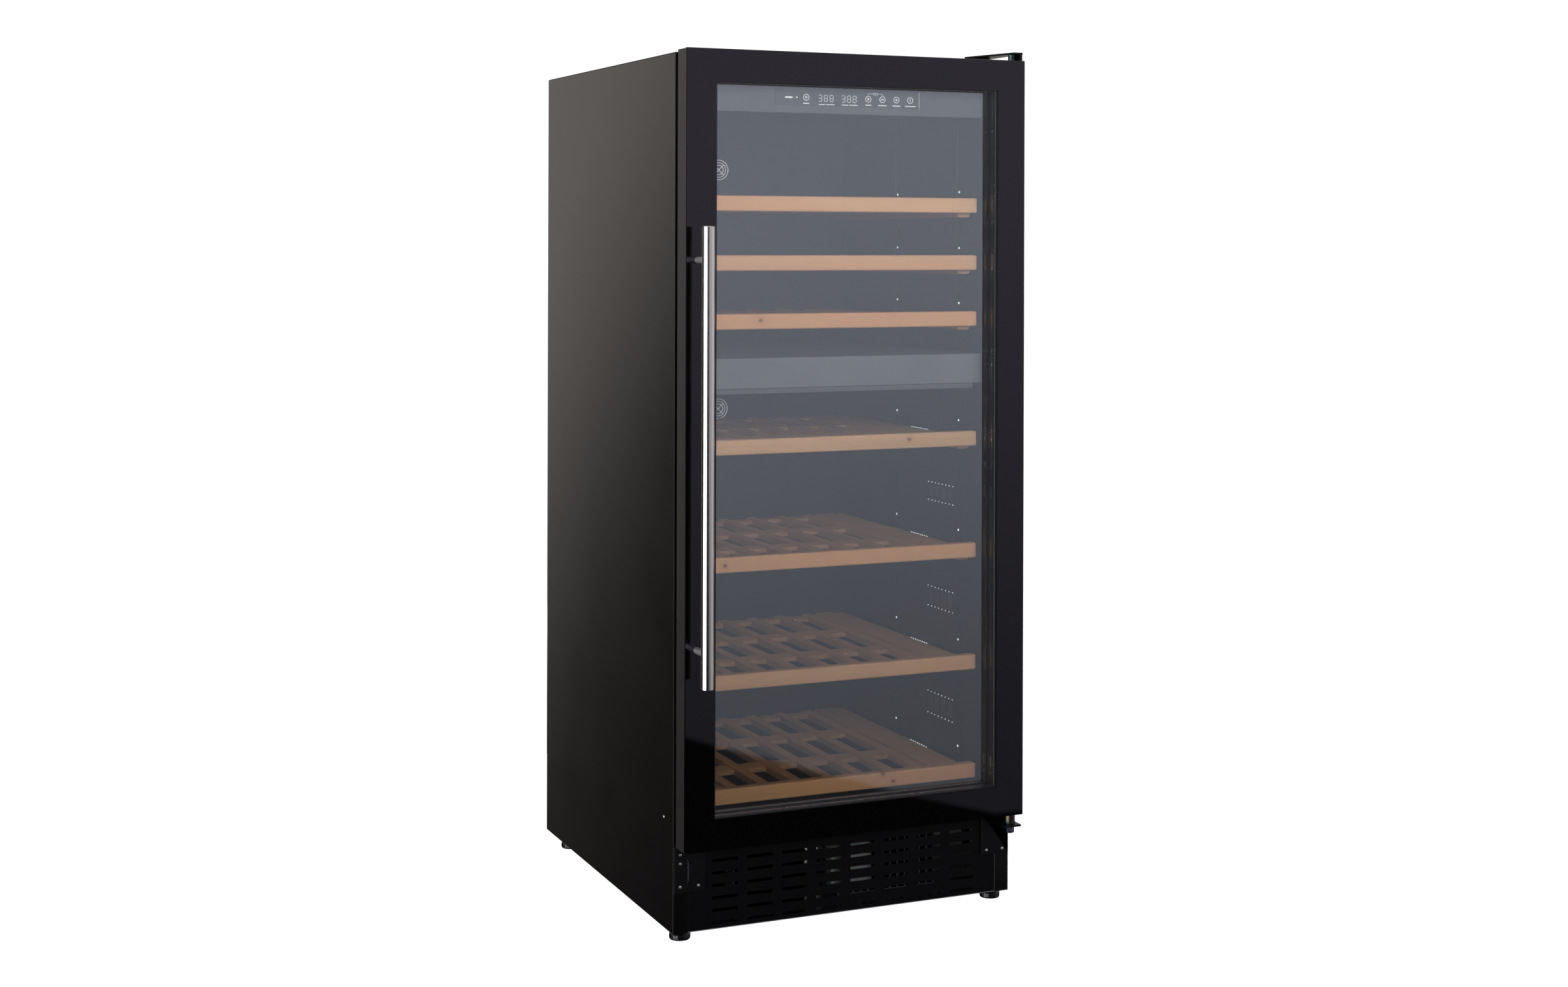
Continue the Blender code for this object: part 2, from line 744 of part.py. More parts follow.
door_pieces = [
    block("door_front_glass", BLACK_GLASS, (-HALF_WIDTH, HALF_WIDTH), (0, GLASS), (DOOR_BOTTOM, DOOR_TOP)),
    door_frame(),
    ring(
        "glazing_spacer",
        ALUMINIUM,
        PANE_HALF_WIDTH,
        PANE_BOTTOM,
        PANE_TOP,
        PANE_REST - 0.001,
        (GLASS + GAP, PANE_FRONT - GAP),
    ),
    block(
        "door_inner_pane",
        CLEAR_GLASS,
        (-PANE_HALF_WIDTH, PANE_HALF_WIDTH),
        (PANE_FRONT, PANE_FRONT + GLASS),
        (PANE_BOTTOM, PANE_TOP),
    ),
    ring(
        "door_gasket",
        RUBBER,
        HALF_WIDTH - GASKET_INSET,
        DOOR_BOTTOM + 0.012,
        DOOR_TOP - 0.012,
        GASKET_WIDTH,
        (DOOR_THICKNESS + GAP, CABINET_FRONT - GAP),
    ),
    handle_bar(),
    handle_post("handle_post_upper", BAR_TOP - POST_INSET),
    handle_post("handle_post_lower", BAR_BOTTOM + POST_INSET),
]
child_of(door_axis, *door_pieces)

# ---- hinges and brackets --------------------------------------------------------------------------

HINGE_PLATE_BOTTOM = DOOR_TOP + HINGE_CLEARANCE
HINGE_PLATE_RIGHT = 0.2945
HINGE_STEP = 0.113
HINGE_REAR = 0.160
HINGE_FRONT = 0.002
HINGE_PLATE_LEFT = 0.2475
HINGE_THICKNESS = 0.003
HINGE_PLATE_TOP = HINGE_PLATE_BOTTOM + HINGE_THICKNESS
SLANT_LEFT = 0.240
SLANT_RIGHT = 0.2775
SLANT_FRONT = 0.005
LUG_LEFT = 0.2895
LUG_DEPTH = (0.0025, 0.030)
ARM_X = (0.2625, 0.2955)
COLLAR_RADIUS = 0.009
NUT_RADIUS = 0.0072
NUT_HEIGHT = 0.012
TOP_COLLAR_RADIUS = 0.006


def top_hinge_plate():
    """A raised arm over the door's top corner, stepped down at the back onto the cabinet's top."""
    foot_bottom = CABINET_TOP + GAP
    foot_top = foot_bottom + HINGE_THICKNESS
    step_back = HINGE_STEP + HINGE_THICKNESS
    section = [
        (HINGE_FRONT, HINGE_PLATE_BOTTOM),
        (HINGE_FRONT, HINGE_PLATE_TOP),
        (step_back, HINGE_PLATE_TOP),
        (step_back, foot_top),
        (HINGE_REAR, foot_top),
        (HINGE_REAR, foot_bottom),
        (HINGE_STEP, foot_bottom),
        (HINGE_STEP, HINGE_PLATE_BOTTOM),
    ]
    across = (HINGE_PLATE_LEFT, HINGE_PLATE_RIGHT)
    plate = as_mesh(side_profile("top_hinge_plate", BLACK_COAT, section, across))
    slant_back = HINGE_STEP - MARGIN
    slant = [
        (SLANT_LEFT, -0.01),
        (SLANT_RIGHT, -0.01),
        (SLANT_RIGHT, SLANT_FRONT),
        (HINGE_PLATE_LEFT + 0.0005, slant_back),
        (SLANT_LEFT, slant_back),
    ]
    heights = (HINGE_PLATE_BOTTOM - HINGE_THICKNESS, HINGE_PLATE_TOP + HINGE_THICKNESS)
    corner = hide_as_tool(lying_plate("hinge_slant", None, [slant], heights))
    combine(plate, as_mesh(corner), "DIFFERENCE")
    lug = space(
        (LUG_LEFT, HINGE_PLATE_RIGHT - 0.0005),
        LUG_DEPTH,
        (DOOR_TOP + GAP, HINGE_PLATE_BOTTOM + MARGIN),
    )
    return combine(plate, cutter("hinge_lug", [lug]), "UNION")


def lower_hinge_bracket():
    """A plate screwed to the cabinet's foot and an arm that reaches forward under the door."""
    plate = block(
        "lower_hinge_bracket",
        BLACK_COAT,
        (BRACKET_INNER, BRACKET_OUTER),
        (CABINET_FRONT - GAP - PLATE, CABINET_FRONT - GAP),
        (BRACKET_BOTTOM, KICK_TOP),
    )
    arm = space(
        ARM_X,
        (HINGE_FRONT, CABINET_FRONT - GAP - MARGIN),
        (ARM_BOTTOM, ARM_BOTTOM + ARM_THICKNESS),
    )
    combine(plate, cutter("hinge_arm", [arm]), "UNION")
    hole = outline_curve("arm_hole", [circle(PIN_X, at(PIN_DEPTH), PIN_RADIUS, 24)], 0.03)
    made = put("arm_hole", hole, None, (0, 0, ARM_BOTTOM), cutters)
    return combine(plate, as_mesh(made), "DIFFERENCE")


def lower_hinge_pin():
    """Pin, collar, shank and nut, turned as one piece."""
    shank = PIN_RADIUS - GAP
    collar_bottom = ARM_BOTTOM + ARM_THICKNESS + GAP
    nut_top = ARM_BOTTOM - GAP
    pin_top = DOOR_BOTTOM + PIN_SOCKET - MARGIN
    profile = [
        (0, pin_top),
        (PIN_RADIUS, pin_top),
        (PIN_RADIUS, DOOR_BOTTOM - GAP),
        (COLLAR_RADIUS, DOOR_BOTTOM - GAP),
        (COLLAR_RADIUS, collar_bottom),
        (shank, collar_bottom),
        (shank, nut_top),
        (NUT_RADIUS, nut_top),
        (NUT_RADIUS, nut_top - NUT_HEIGHT),
        (0, nut_top - NUT_HEIGHT),
    ]
    return turned("lower_hinge_pin", ZINC_STEEL, profile, (PIN_X, at(PIN_DEPTH), 0))


def top_hinge_pin():
    pin_end = DOOR_TOP - PIN_SOCKET + MARGIN
    profile = [
        (0, HINGE_PLATE_BOTTOM - GAP),
        (TOP_COLLAR_RADIUS, HINGE_PLATE_BOTTOM - GAP),
        (TOP_COLLAR_RADIUS, DOOR_TOP + GAP),
        (PIN_RADIUS, DOOR_TOP + GAP),
        (PIN_RADIUS, pin_end),
        (0, pin_end),
    ]
    return turned("top_hinge_pin", ZINC_STEEL, profile, (PIN_X, at(PIN_DEPTH), 0))


top_hinge_plate()
top_hinge_pin()
lower_hinge_bracket()
lower_hinge_pin()
block(
    "blank_bracket",
    BLACK_COAT,
    (-BRACKET_OUTER, -BRACKET_INNER),
    (CABINET_FRONT - GAP - PLATE, CABINET_FRONT - GAP),
    (BRACKET_BOTTOM, KICK_TOP),
)

# ---- feet and machine compartment -----------------------------------------------------------------

PAN_TOP = CABINET_BOTTOM + SHEET + GAP
STUD_RADIUS = 0.0065
TREAD = ((0.0085, 0.002), (0.0065, 0), (0.0015, 0), (0, 0.0015))
STUD_BOTTOM = 0.0095
COMPRESSOR_X = -0.13
COMPRESSOR_DEPTH = 0.58
COMPRESSOR_RADIUS = 0.062
COMPRESSOR_HEIGHT = 0.104
COMPRESSOR_DOME = 0.022
COMPRESSOR_FOOT = ((0.012, 0), (0.004, 0.008), (0, 0.008))
FINS = 14
FIN_PITCH = 0.0135
FIN_THICKNESS = 0.003
FIN_TOP = 0.138
FIN_LEFT = 0.018
FIN_BASE = 0.004
CONDENSER_DEPTH = (0.120, 0.200)
TRAY_X = (-0.225, -0.035)
TRAY_DEPTH = (0.470, 0.690)
TRAY_Z = (0.126, 0.146)
TRAY_WALL = 0.0015
INLET_X = (0.175, 0.225)
INLET_DEPTH = (0.665, 0.704)
INLET_HEIGHT = 0.034
SOCKET_X = (0.188, 0.212)
SOCKET_DEPTH = (0.688, 0.720)
SOCKET_RISE = (0.009, 0.025)
BOARD_X = (-0.035, 0.010)
BOARD_DEPTH = (0.110, 0.230)
BOARD_Z = (0.030, 0.034)


def foot(name, x, depth):
    top = CABINET_BOTTOM - GAP
    profile = [(0, top), (STUD_RADIUS, top), (STUD_RADIUS, STUD_BOTTOM)]
    profile += [(FOOT_RADIUS - inset, height) for height, inset in TREAD]
    profile.append((0, 0))
    return turned(name, BLACK_PLASTIC, profile, (x, at(depth), 0))


def compressor():
    """The welded can, standing on the base pan."""
    dome, radius = COMPRESSOR_DOME, COMPRESSOR_RADIUS
    profile = [(0, COMPRESSOR_HEIGHT)]
    for step in range(1, 6):
        turn = math.radians(90 - 18 * step)
        height = COMPRESSOR_HEIGHT - dome + dome * math.sin(turn)
        profile.append((radius * math.cos(turn), height))
    profile += [(radius - inset, height) for height, inset in COMPRESSOR_FOOT]
    profile.append((0, 0))
    place = (COMPRESSOR_X, at(COMPRESSOR_DEPTH), PAN_TOP)
    return turned("compressor", BLACK_COAT, profile, place, "Z", 28)


def condenser():
    """A block of upright fins joined by a plate along the bottom."""
    right = FIN_LEFT + (FINS - 1) * FIN_PITCH + FIN_THICKNESS
    plate_top = PAN_TOP + FIN_BASE
    outline = [(FIN_LEFT, PAN_TOP), (right, PAN_TOP)]
    for number in reversed(range(FINS)):
        start = FIN_LEFT + number * FIN_PITCH
        outline += [(start + FIN_THICKNESS, FIN_TOP), (start, FIN_TOP)]
        if number:
            outline += [(start, plate_top), (start - FIN_PITCH + FIN_THICKNESS, plate_top)]
    return standing_plate("condenser", ALUMINIUM, [outline], CONDENSER_DEPTH)


def drip_tray():
    """The pan over the compressor that catches the thaw water."""
    wall = TRAY_WALL
    tray = block("drip_tray", BLACK_PLASTIC, TRAY_X, TRAY_DEPTH, TRAY_Z)
    inside = space(
        (TRAY_X[0] + wall, TRAY_X[1] - wall),
        (TRAY_DEPTH[0] + wall, TRAY_DEPTH[1] - wall),
        (TRAY_Z[0] + wall, TRAY_Z[1] + 0.01),
    )
    return combine(tray, cutter("tray_inside", [inside]), "DIFFERENCE")


def power_inlet():
    """The socket block for a detachable mains lead, open to the back."""
    heights = (PAN_TOP, PAN_TOP + INLET_HEIGHT)
    inlet = block("power_inlet", BLACK_PLASTIC, INLET_X, INLET_DEPTH, heights)
    mouth = (PAN_TOP + SOCKET_RISE[0], PAN_TOP + SOCKET_RISE[1])
    socket = space(SOCKET_X, SOCKET_DEPTH, mouth)
    return combine(inlet, cutter("inlet_socket", [socket]), "DIFFERENCE")


for row, depth in zip(("front", "rear"), FOOT_DEPTHS):
    foot(f"foot_{row}_left", -FOOT_X, depth)
    foot(f"foot_{row}_right", FOOT_X, depth)
compressor()
condenser()
condenser_fan = (CONDENSER_FAN_X, CONDENSER_FAN_DEPTH, CONDENSER_FAN_HEIGHT, CONDENSER_FAN_SIZE)
fan_housing("condenser_fan_housing", *condenser_fan)
fan_rotor("condenser_fan_rotor", *condenser_fan)
drip_tray()
block("control_board", GREEN_BOARD, BOARD_X, BOARD_DEPTH, BOARD_Z)
power_inlet()
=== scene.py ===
# %% [markdown]
# # A tall wine cooler, dressed and lit
#
# The cooler's engineering model is loaded first. It is the fixed frame: every piece made below takes its
# place from that model's boxes and rides on one of its moving bodies.

# %% Load the frame
import math

import bmesh
import bpy
from mathutils import Matrix, Vector


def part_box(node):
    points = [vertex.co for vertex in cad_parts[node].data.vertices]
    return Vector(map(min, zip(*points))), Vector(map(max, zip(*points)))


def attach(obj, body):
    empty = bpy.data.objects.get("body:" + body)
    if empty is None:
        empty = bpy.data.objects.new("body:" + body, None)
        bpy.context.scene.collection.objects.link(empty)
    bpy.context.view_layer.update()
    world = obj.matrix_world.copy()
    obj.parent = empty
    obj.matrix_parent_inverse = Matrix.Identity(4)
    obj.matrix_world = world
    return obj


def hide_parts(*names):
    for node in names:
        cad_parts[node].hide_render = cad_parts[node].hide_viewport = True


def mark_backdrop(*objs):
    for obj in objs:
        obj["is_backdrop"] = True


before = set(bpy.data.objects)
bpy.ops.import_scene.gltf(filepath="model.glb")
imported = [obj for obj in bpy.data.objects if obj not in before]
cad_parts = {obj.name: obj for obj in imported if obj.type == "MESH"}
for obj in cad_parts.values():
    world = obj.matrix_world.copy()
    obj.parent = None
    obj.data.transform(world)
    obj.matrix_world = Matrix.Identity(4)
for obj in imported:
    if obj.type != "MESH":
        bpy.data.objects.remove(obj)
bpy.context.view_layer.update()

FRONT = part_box("door_front_glass")[0].y


def at(depth):
    """The Y coordinate of a depth behind the door's front face."""
    return FRONT + depth


# %% [markdown]
# ## Camera
#
# The object is tall, so the picture is taken as a product photographer would take it: the camera stays level,
# which keeps the uprights upright, and the lens is shifted down to take in the feet.

# %% Camera
STAND_POINT = (-1.4818, -3.4074, 1.0942)
TURN_DEGREES = (90, -0.166, -23.615)
lens = bpy.data.cameras.new("camera")
lens.lens = 49.43
lens.sensor_width = 36
lens.shift_y = -0.1616
camera = bpy.data.objects.new("camera", lens)
bpy.context.scene.collection.objects.link(camera)
camera.location = STAND_POINT
camera.rotation_euler = [math.radians(turn) for turn in TURN_DEGREES]
bpy.context.scene.camera = camera
bpy.context.scene.view_settings.view_transform = "Standard"
print("camera at", tuple(round(v, 2) for v in camera.location))

# %% [markdown]
# ## Shader maths as plain expressions
#
# A material is a net of nodes. Wiring each Math node by hand hides what it computes, so a small class wraps a
# socket: `1 - grain * 0.3` then adds the Subtract and Multiply nodes itself. Every other node comes from one
# method, which sets the node's own settings before its sockets.

# %% Wires
class Wire:
    def __init__(self, net, socket):
        self.net, self.socket = net, socket

    def maths(self, operation, first, second=0.0):
        return self.net.node("ShaderNodeMath", {"operation": operation}, {0: first, 1: second})

    def __add__(self, other):
        return self.maths("ADD", self, other)

    def __sub__(self, other):
        return self.maths("SUBTRACT", self, other)

    def __rsub__(self, other):
        return self.maths("SUBTRACT", other, self)

    def __mul__(self, other):
        return self.maths("MULTIPLY", self, other)

    def __truediv__(self, other):
        return self.maths("DIVIDE", self, other)

    def __pow__(self, other):
        return self.maths("POWER", self, other)

    __radd__, __rmul__ = __add__, __mul__

    def step(self, low, high):
        """0 below low, 1 above high, and a smooth ramp between."""
        ends = {0: self, "From Min": low, "From Max": high}
        return self.net.node("ShaderNodeMapRange", {"interpolation_type": "SMOOTHSTEP"}, ends)


class Net:
    """The nodes of one material or world."""

    def __init__(self, owner):
        owner.use_nodes = True
        self.tree = owner.node_tree

    def node(self, kind, settings=None, values=None, output=0):
        made = self.tree.nodes.new(kind)
        for name, value in (settings or {}).items():
            setattr(made, name, value)
        for name, value in (values or {}).items():
            self.feed(made.inputs[name], value)
        return Wire(self, made.outputs[output])

    def feed(self, socket, value):
        if isinstance(value, Wire):
            self.tree.links.new(value.socket, socket)
        else:
            socket.default_value = value

    def blend(self, factor, first, second):
        """A colour between two colours."""
        values = {0: factor, 6: (*first, 1) if isinstance(first, tuple) else first}
        values[7] = (*second, 1) if isinstance(second, tuple) else second
        return self.node("ShaderNodeMix", {"data_type": "RGBA"}, values, output=2)

    def axes(self, vector):
        split = self.tree.nodes.new("ShaderNodeSeparateXYZ")
        self.feed(split.inputs[0], vector)
        return [Wire(self, output) for output in split.outputs]


print("wires ready")

# %% [markdown]
# ## The studio
#
# The floor is nearly white, so the cooler seems to stand in open light. Black glass shows what stands round it
# rather than its own colour, so the world gives mirror rays a studio of its own: a pale wall behind the camera
# whose lower edge slants, a tall soft box on the left, a wall behind, and a dark ground.

# %% World
world = bpy.data.worlds.new("studio")
bpy.context.scene.world = world
sky = Net(world)
sky.tree.nodes.clear()
side, along, height = sky.axes(sky.node("ShaderNodeTexCoord", output="Generated"))
ray = {name: sky.node("ShaderNodeLightPath", output=name) for name in ("Is Camera Ray", "Is Glossy Ray")}

EDGE_LEFT, EDGE_RIGHT = Vector((1.1843, -3.0832, -0.7632)), Vector((1.7357, -3.0832, -0.9432))
GROUND_GLOW = 0.012
EDGE = EDGE_LEFT.cross(EDGE_RIGHT).normalized()
EDGE *= math.copysign(1, EDGE.z)
over_edge = (side * EDGE.x + along * EDGE.y + height * EDGE.z).step(-0.002, 0.002)
wall_light = GROUND_GLOW + over_edge * (0.20 + height.step(-0.28, 0.06) * 0.37)
soft_box = (-1 * side).step(0.66, 0.72) * (1 - along.step(0.20, 0.30))
right_wall = side.step(0.45, 0.95) * 0.20
gap = side.step(-0.72, -0.66) * (1 - side.step(-0.14, -0.04)) * (1 - height.step(0.3, 0.5))
front_light = (wall_light + right_wall) * (1 - gap * 0.65) + soft_box * 3.2
back_light = GROUND_GLOW + (height + (side + 0.33) * 2).step(-0.16, 0.06) * 0.54
behind = along.step(0.20, 0.35)
mirror_light = front_light * (1 - behind) + back_light * behind
plain_light = 0.18 + ray["Is Camera Ray"] * 1.0
light = mirror_light * ray["Is Glossy Ray"] + plain_light * (1 - ray["Is Glossy Ray"])
tint = sky.blend(behind, (1.0, 0.97, 1.06), (1.08, 1.0, 0.93))
glow = sky.tree.nodes.new("ShaderNodeBackground")
sky.feed(glow.inputs["Color"], sky.blend(ray["Is Glossy Ray"], (1, 1, 1), tint))
sky.feed(glow.inputs["Strength"], light)
sky.feed(sky.tree.nodes.new("ShaderNodeOutputWorld").inputs["Surface"], Wire(sky, glow.outputs[0]))
print("world of", len(sky.tree.nodes), "nodes")


# %% Floor and lamps
def stage_floor():
    work = bmesh.new()
    bmesh.ops.create_circle(work, cap_ends=True, radius=40, segments=48)
    mesh = bpy.data.meshes.new("studio_floor")
    work.to_mesh(mesh)
    work.free()
    paper = bpy.data.materials.new("white_paper")
    net = Net(paper)
    values = {"Base Color": (0.93, 0.93, 0.93, 1), "Roughness": 0.9, "Specular IOR Level": 0.0}
    values.update({"Emission Color": (1, 1, 1, 1), "Emission Strength": 0.92})
    for socket, value in values.items():
        net.feed(net.tree.nodes["Principled BSDF"].inputs[socket], value)
    mesh.materials.append(paper)
    floor = bpy.data.objects.new("studio_floor", mesh)
    bpy.context.scene.collection.objects.link(floor)
    floor.visible_glossy = floor.visible_diffuse = False
    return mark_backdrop(floor)


def soft_lamp(name, place, target, size, watts, spread=180):
    data = bpy.data.lights.new(name, "AREA")
    data.shape = "RECTANGLE"
    data.size, data.size_y = size
    data.energy = watts
    data.spread = math.radians(spread)
    lamp = bpy.data.objects.new(name, data)
    bpy.context.scene.collection.objects.link(lamp)
    lamp.location = place
    lamp.rotation_euler = (Vector(target) - Vector(place)).to_track_quat("-Z", "Y").to_euler()
    lamp.visible_glossy = False
    lamp.visible_camera = False


stage_floor()
soft_lamp("front_lamp", (-0.5, -4.2, 1.9), (0, 0, 1.9), (3.0, 1.6), 74, 60)
soft_lamp("left_lamp", (-3.2, -1.2, 1.8), (-0.2, 0, 0.8), (1.6, 2.2), 60)
soft_lamp("rear_lamp", (0.6, 2.6, 0.9), (0, 0.2, 0.2), (1.2, 1.2), 22)
print("floor and three lamps")

# %% [markdown]
# ## Finishes
#
# Each finish is a Principled shader with its texture from noise in object coordinates, in metres. A class keeps
# the common moves short: noise stretched along a direction, a blend of colours, and a bump of a real height.

# %% The finish maker
finishes = {}


class Finish(Net):
    """A finish, kept under its name."""

    def __init__(self, name, colour, roughness, metallic=0.0, **constants):
        self.material = finishes[name] = bpy.data.materials.new(name)
        super().__init__(self.material)
        self.shader = self.tree.nodes["Principled BSDF"]
        self.place = self.node("ShaderNodeTexCoord", output="Object")
        self.set("Base Color", (*colour, 1))
        self.set("Roughness", roughness)
        self.set("Metallic", metallic)
        for socket, value in constants.items():
            self.set(socket.replace("_", " "), value)
        self.material.diffuse_color = (*colour, 1)

    def set(self, socket, value):
        self.feed(self.shader.inputs[socket], value)
        return self

    def stretched(self, stretch):
        return self.node("ShaderNodeMapping", values={"Vector": self.place, "Scale": stretch})

    def noise(self, scale, detail=2.0, stretch=(1, 1, 1), distortion=0.0):
        values = {"Vector": self.stretched(stretch), "Scale": scale, "Detail": detail}
        values["Distortion"] = distortion
        return self.node("ShaderNodeTexNoise", values=values)

    def cells(self, scale):
        values = {"Vector": self.stretched((1, 1, 1)), "Scale": scale}
        return self.node("ShaderNodeTexVoronoi", values=values, output="Color")

    def bump(self, relief, height):
        values = {"Height": relief, "Distance": height, "Strength": 1.0}
        return self.set("Normal", self.node("ShaderNodeBump", values=values))


def shaded(colour, amount):
    return tuple(channel * amount for channel in colour)


print("finish maker ready")


# %% [markdown]
# ### Coated and moulded blacks
#
# The steel casing has a satin powder coat, which dries with a faint orange peel. The plastics were moulded in a
# spark-eroded tool, whose grain is finer and sharper. Both drift a little in shade over a large panel.

# %% Blacks
def powder_coat(name, colour, roughness, peel=0.00002, level=0.5):
    made = Finish(name, colour, roughness, Specular_IOR_Level=level)
    cloud = made.noise(6, 3)
    fine = made.noise(700, 2)
    made.set("Base Color", made.blend(cloud, shaded(colour, 0.75), shaded(colour, 1.3)))
    made.set("Roughness", cloud * 0.04 + fine * 0.03 + (roughness - 0.035))
    made.bump(fine, peel)


def moulded(name, colour, roughness, grain=0.00002):
    made = Finish(name, colour, roughness)
    grit = made.noise(2200, 3)
    rub = made.noise(14, 4)
    made.set("Base Color", made.blend(rub, shaded(colour, 0.8), shaded(colour, 1.25)))
    made.set("Roughness", rub * 0.08 + grit * 0.06 + (roughness - 0.07))
    made.bump(grit, grain)


powder_coat("casing_coat", (0.0020, 0.0020, 0.0021), 0.15, 0.000008)
powder_coat("kick_coat", (0.0014, 0.0014, 0.0017), 0.42, level=0.12)
powder_coat("bracket_coat", (0.0018, 0.0018, 0.0021), 0.36, level=0.2)
powder_coat("pump_coat", (0.010, 0.010, 0.010), 0.30, 0.00003)
moulded("door_plastic", (0.006, 0.006, 0.0065), 0.28)
moulded("inside_plastic", (0.017, 0.018, 0.020), 0.42)
moulded("fascia_plastic", (0.075, 0.080, 0.086), 0.38)
moulded("divider_plastic", (0.135, 0.143, 0.155), 0.38)
moulded("dark_plastic", (0.008, 0.008, 0.009), 0.45)
moulded("foot_plastic", (0.004, 0.004, 0.004), 0.22)
moulded("vent_plastic", (0.80, 0.82, 0.84), 0.40)
moulded("seal_rubber", (0.008, 0.008, 0.008), 0.65, 0.00004)
print(len(finishes), "blacks and greys")


# %% [markdown]
# ### Metals
#
# Brushed steel is a bright metal whose roughness runs in fine lines. The bar was polished round its axis on a
# belt, so the noise is stretched thin along the bar. Zinc plating shows soft clouds instead.

# %% Metals
def brushed(name, colour, roughness, stretch):
    made = Finish(name, colour, roughness, 1.0)
    lines = made.noise(1, 3, stretch)
    cloud = made.noise(18, 2)
    made.set("Base Color", made.blend(lines, shaded(colour, 0.90), shaded(colour, 1.06)))
    made.set("Roughness", lines * 0.12 + cloud * 0.05 + (roughness - 0.085))
    made.bump(lines, 0.000002)


def plated(name, colour, roughness):
    made = Finish(name, colour, roughness, 1.0)
    spangle = made.cells(160)
    cloud = made.noise(40, 3)
    tint = made.blend(cloud, shaded(colour, 0.82), shaded(colour, 1.1))
    made.set("Base Color", made.blend(0.08, tint, spangle))
    made.set("Roughness", cloud * 0.18 + (roughness - 0.09))
    made.bump(made.noise(900, 2), 0.000004)


brushed("bar_steel", (0.66, 0.64, 0.61), 0.20, (60, 60, 2600))
brushed("post_steel", (0.80, 0.79, 0.77), 0.46, (900, 60, 900))
plated("pin_steel", (0.030, 0.031, 0.033), 0.36)
plated("zinc", (0.50, 0.52, 0.54), 0.34)
plated("dark_zinc", (0.10, 0.105, 0.11), 0.42)
plated("screw_steel", (0.72, 0.73, 0.74), 0.25)
brushed("spacer_metal", (0.050, 0.052, 0.056), 0.50, (1800, 1800, 40))
brushed("fin_metal", (0.30, 0.31, 0.32), 0.40, (900, 60, 60))
plated("copper", (0.62, 0.26, 0.13), 0.30)
print(len(finishes), "finishes")


# %% [markdown]
# ### Glass
#
# The door has two panes. The front one is lightly smoked and has a black print round its edge, fired onto its
# back, so the border looks like deep gloss. The inner pane has a metal-oxide film that mirrors a pale, bluish
# part of the room and dims what lies behind. Thin panes don't bend light enough to matter, so they are part
# transparent surfaces: Alpha says how much of the pane is there, and the rest lets the cabin show.

# %% Glass
def pane(name, colour, alpha, metallic):
    made = Finish(name, colour, 0.0, metallic)
    smears = made.noise(3.2, 5, (1, 1, 0.5), distortion=1.4)
    dust = made.noise(420, 1).step(0.70, 0.80)
    made.set("Alpha", smears * 0.012 + dust * 0.012 + (alpha - 0.008))
    made.set("Roughness", smears * 0.005 + 0.001)


def gloss_black(name, colour, roughness):
    made = Finish(name, colour, roughness, Specular_Tint=(1.0, 0.95, 1.13, 1))
    wipe = made.noise(2.6, 5, (1, 1, 0.4), distortion=1.2)
    dust = made.noise(500, 1).step(0.74, 0.82)
    made.set("Base Color", made.blend(dust, colour, shaded(colour, 4)))
    made.set("Roughness", wipe * 0.008 + dust * 0.10 + roughness)


pane("front_pane", (0.035, 0.036, 0.040), 0.14, 0.0)
pane("pane_back", (0.03, 0.03, 0.03), 0.02, 0.0)
pane("film_pane", (0.69, 0.775, 0.85), 0.36, 1.0)
gloss_black("printed_border", (0.0007, 0.0007, 0.0008), 0.003)
gloss_black("panel_gloss", (0.062, 0.067, 0.072), 0.10)
print(len(finishes), "finishes")


# %% [markdown]
# ### Beech
#
# Steamed beech is pinkish straw with very even grain. Up close it has short brown flecks, the wood's rays, that
# run with the grain, broad faint growth bands, and here and there a knot. The members lie along X or along Y, so
# the finish is made once for each direction. A knot is a dark spot with a ring, at a place on a rail's face.

# %% Beech
BEECH = (0.615, 0.368, 0.186)
REDDER_BEECH = (BEECH[0] * 1.05, BEECH[1] * 0.90, BEECH[2] * 0.80)
RAY_FLECK, KNOT_HALO = (0.36, 0.165, 0.060), (0.46, 0.22, 0.085)
KNOT_HEART, PAINTED_SHADE_BROWN = (0.10, 0.042, 0.018), (0.07, 0.035, 0.016)
KNOTS = [(0.0737, 0.2253), (0.0916, 0.2118), (0.1196, 0.7686), (-0.1452, 0.9665), (-0.2052, 0.5800)]


def beech(name, grain_axis, knots=(), shade=1.0):
    def along(small, large):
        return tuple(small if axis == grain_axis else large for axis in range(3))

    made = Finish(name, BEECH, 0.48, Specular_IOR_Level=0.4)
    bands = made.noise(1, 3, along(2.2, 120), distortion=0.6)
    tone = made.noise(1, 2, along(1.5, 14))
    fibres = made.noise(1, 4, along(26, 1500))
    flecks = made.noise(1, 1, along(130, 1500)).step(0.60, 0.74)
    colour = made.blend(bands.step(0.3, 0.7), shaded(BEECH, 0.88), shaded(BEECH, 1.08))
    colour = made.blend(tone.step(0.35, 0.65), colour, REDDER_BEECH)
    colour = made.blend(flecks * 0.30, colour, RAY_FLECK)
    across, _, up = made.axes(made.place)
    for knot_x, knot_z in knots:
        reach = (((across - knot_x) * 0.8) ** 2 + (up - knot_z) ** 2) ** 0.5
        reach = reach + made.noise(260, 2) * 0.0016
        spot = 1 - reach.step(0.0022, 0.0046)
        halo = (1 - reach.step(0.004, 0.013)) * 0.45
        colour = made.blend(halo, colour, KNOT_HALO)
        colour = made.blend(spot * 0.75, colour, KNOT_HEART)
    # A shade below 1 blends the wood towards a dark brown: painted shade, not the wood's own colour.
    made.set("Base Color", made.blend(1 - shade, colour, PAINTED_SHADE_BROWN) if shade < 1 else colour)
    made.set("Roughness", fibres * 0.16 + 0.42)
    made.bump(fibres * 0.7 + flecks * 0.3, 0.00004)


beech("beech_rail", 0, KNOTS)
beech("beech_cross", 0)
beech("beech_slat", 1)
# This copy is painted shade: beech darkened for faces that lie in shadow.
beech("beech_painted_shade", 0, (), 0.35)
print(len(finishes), "finishes")
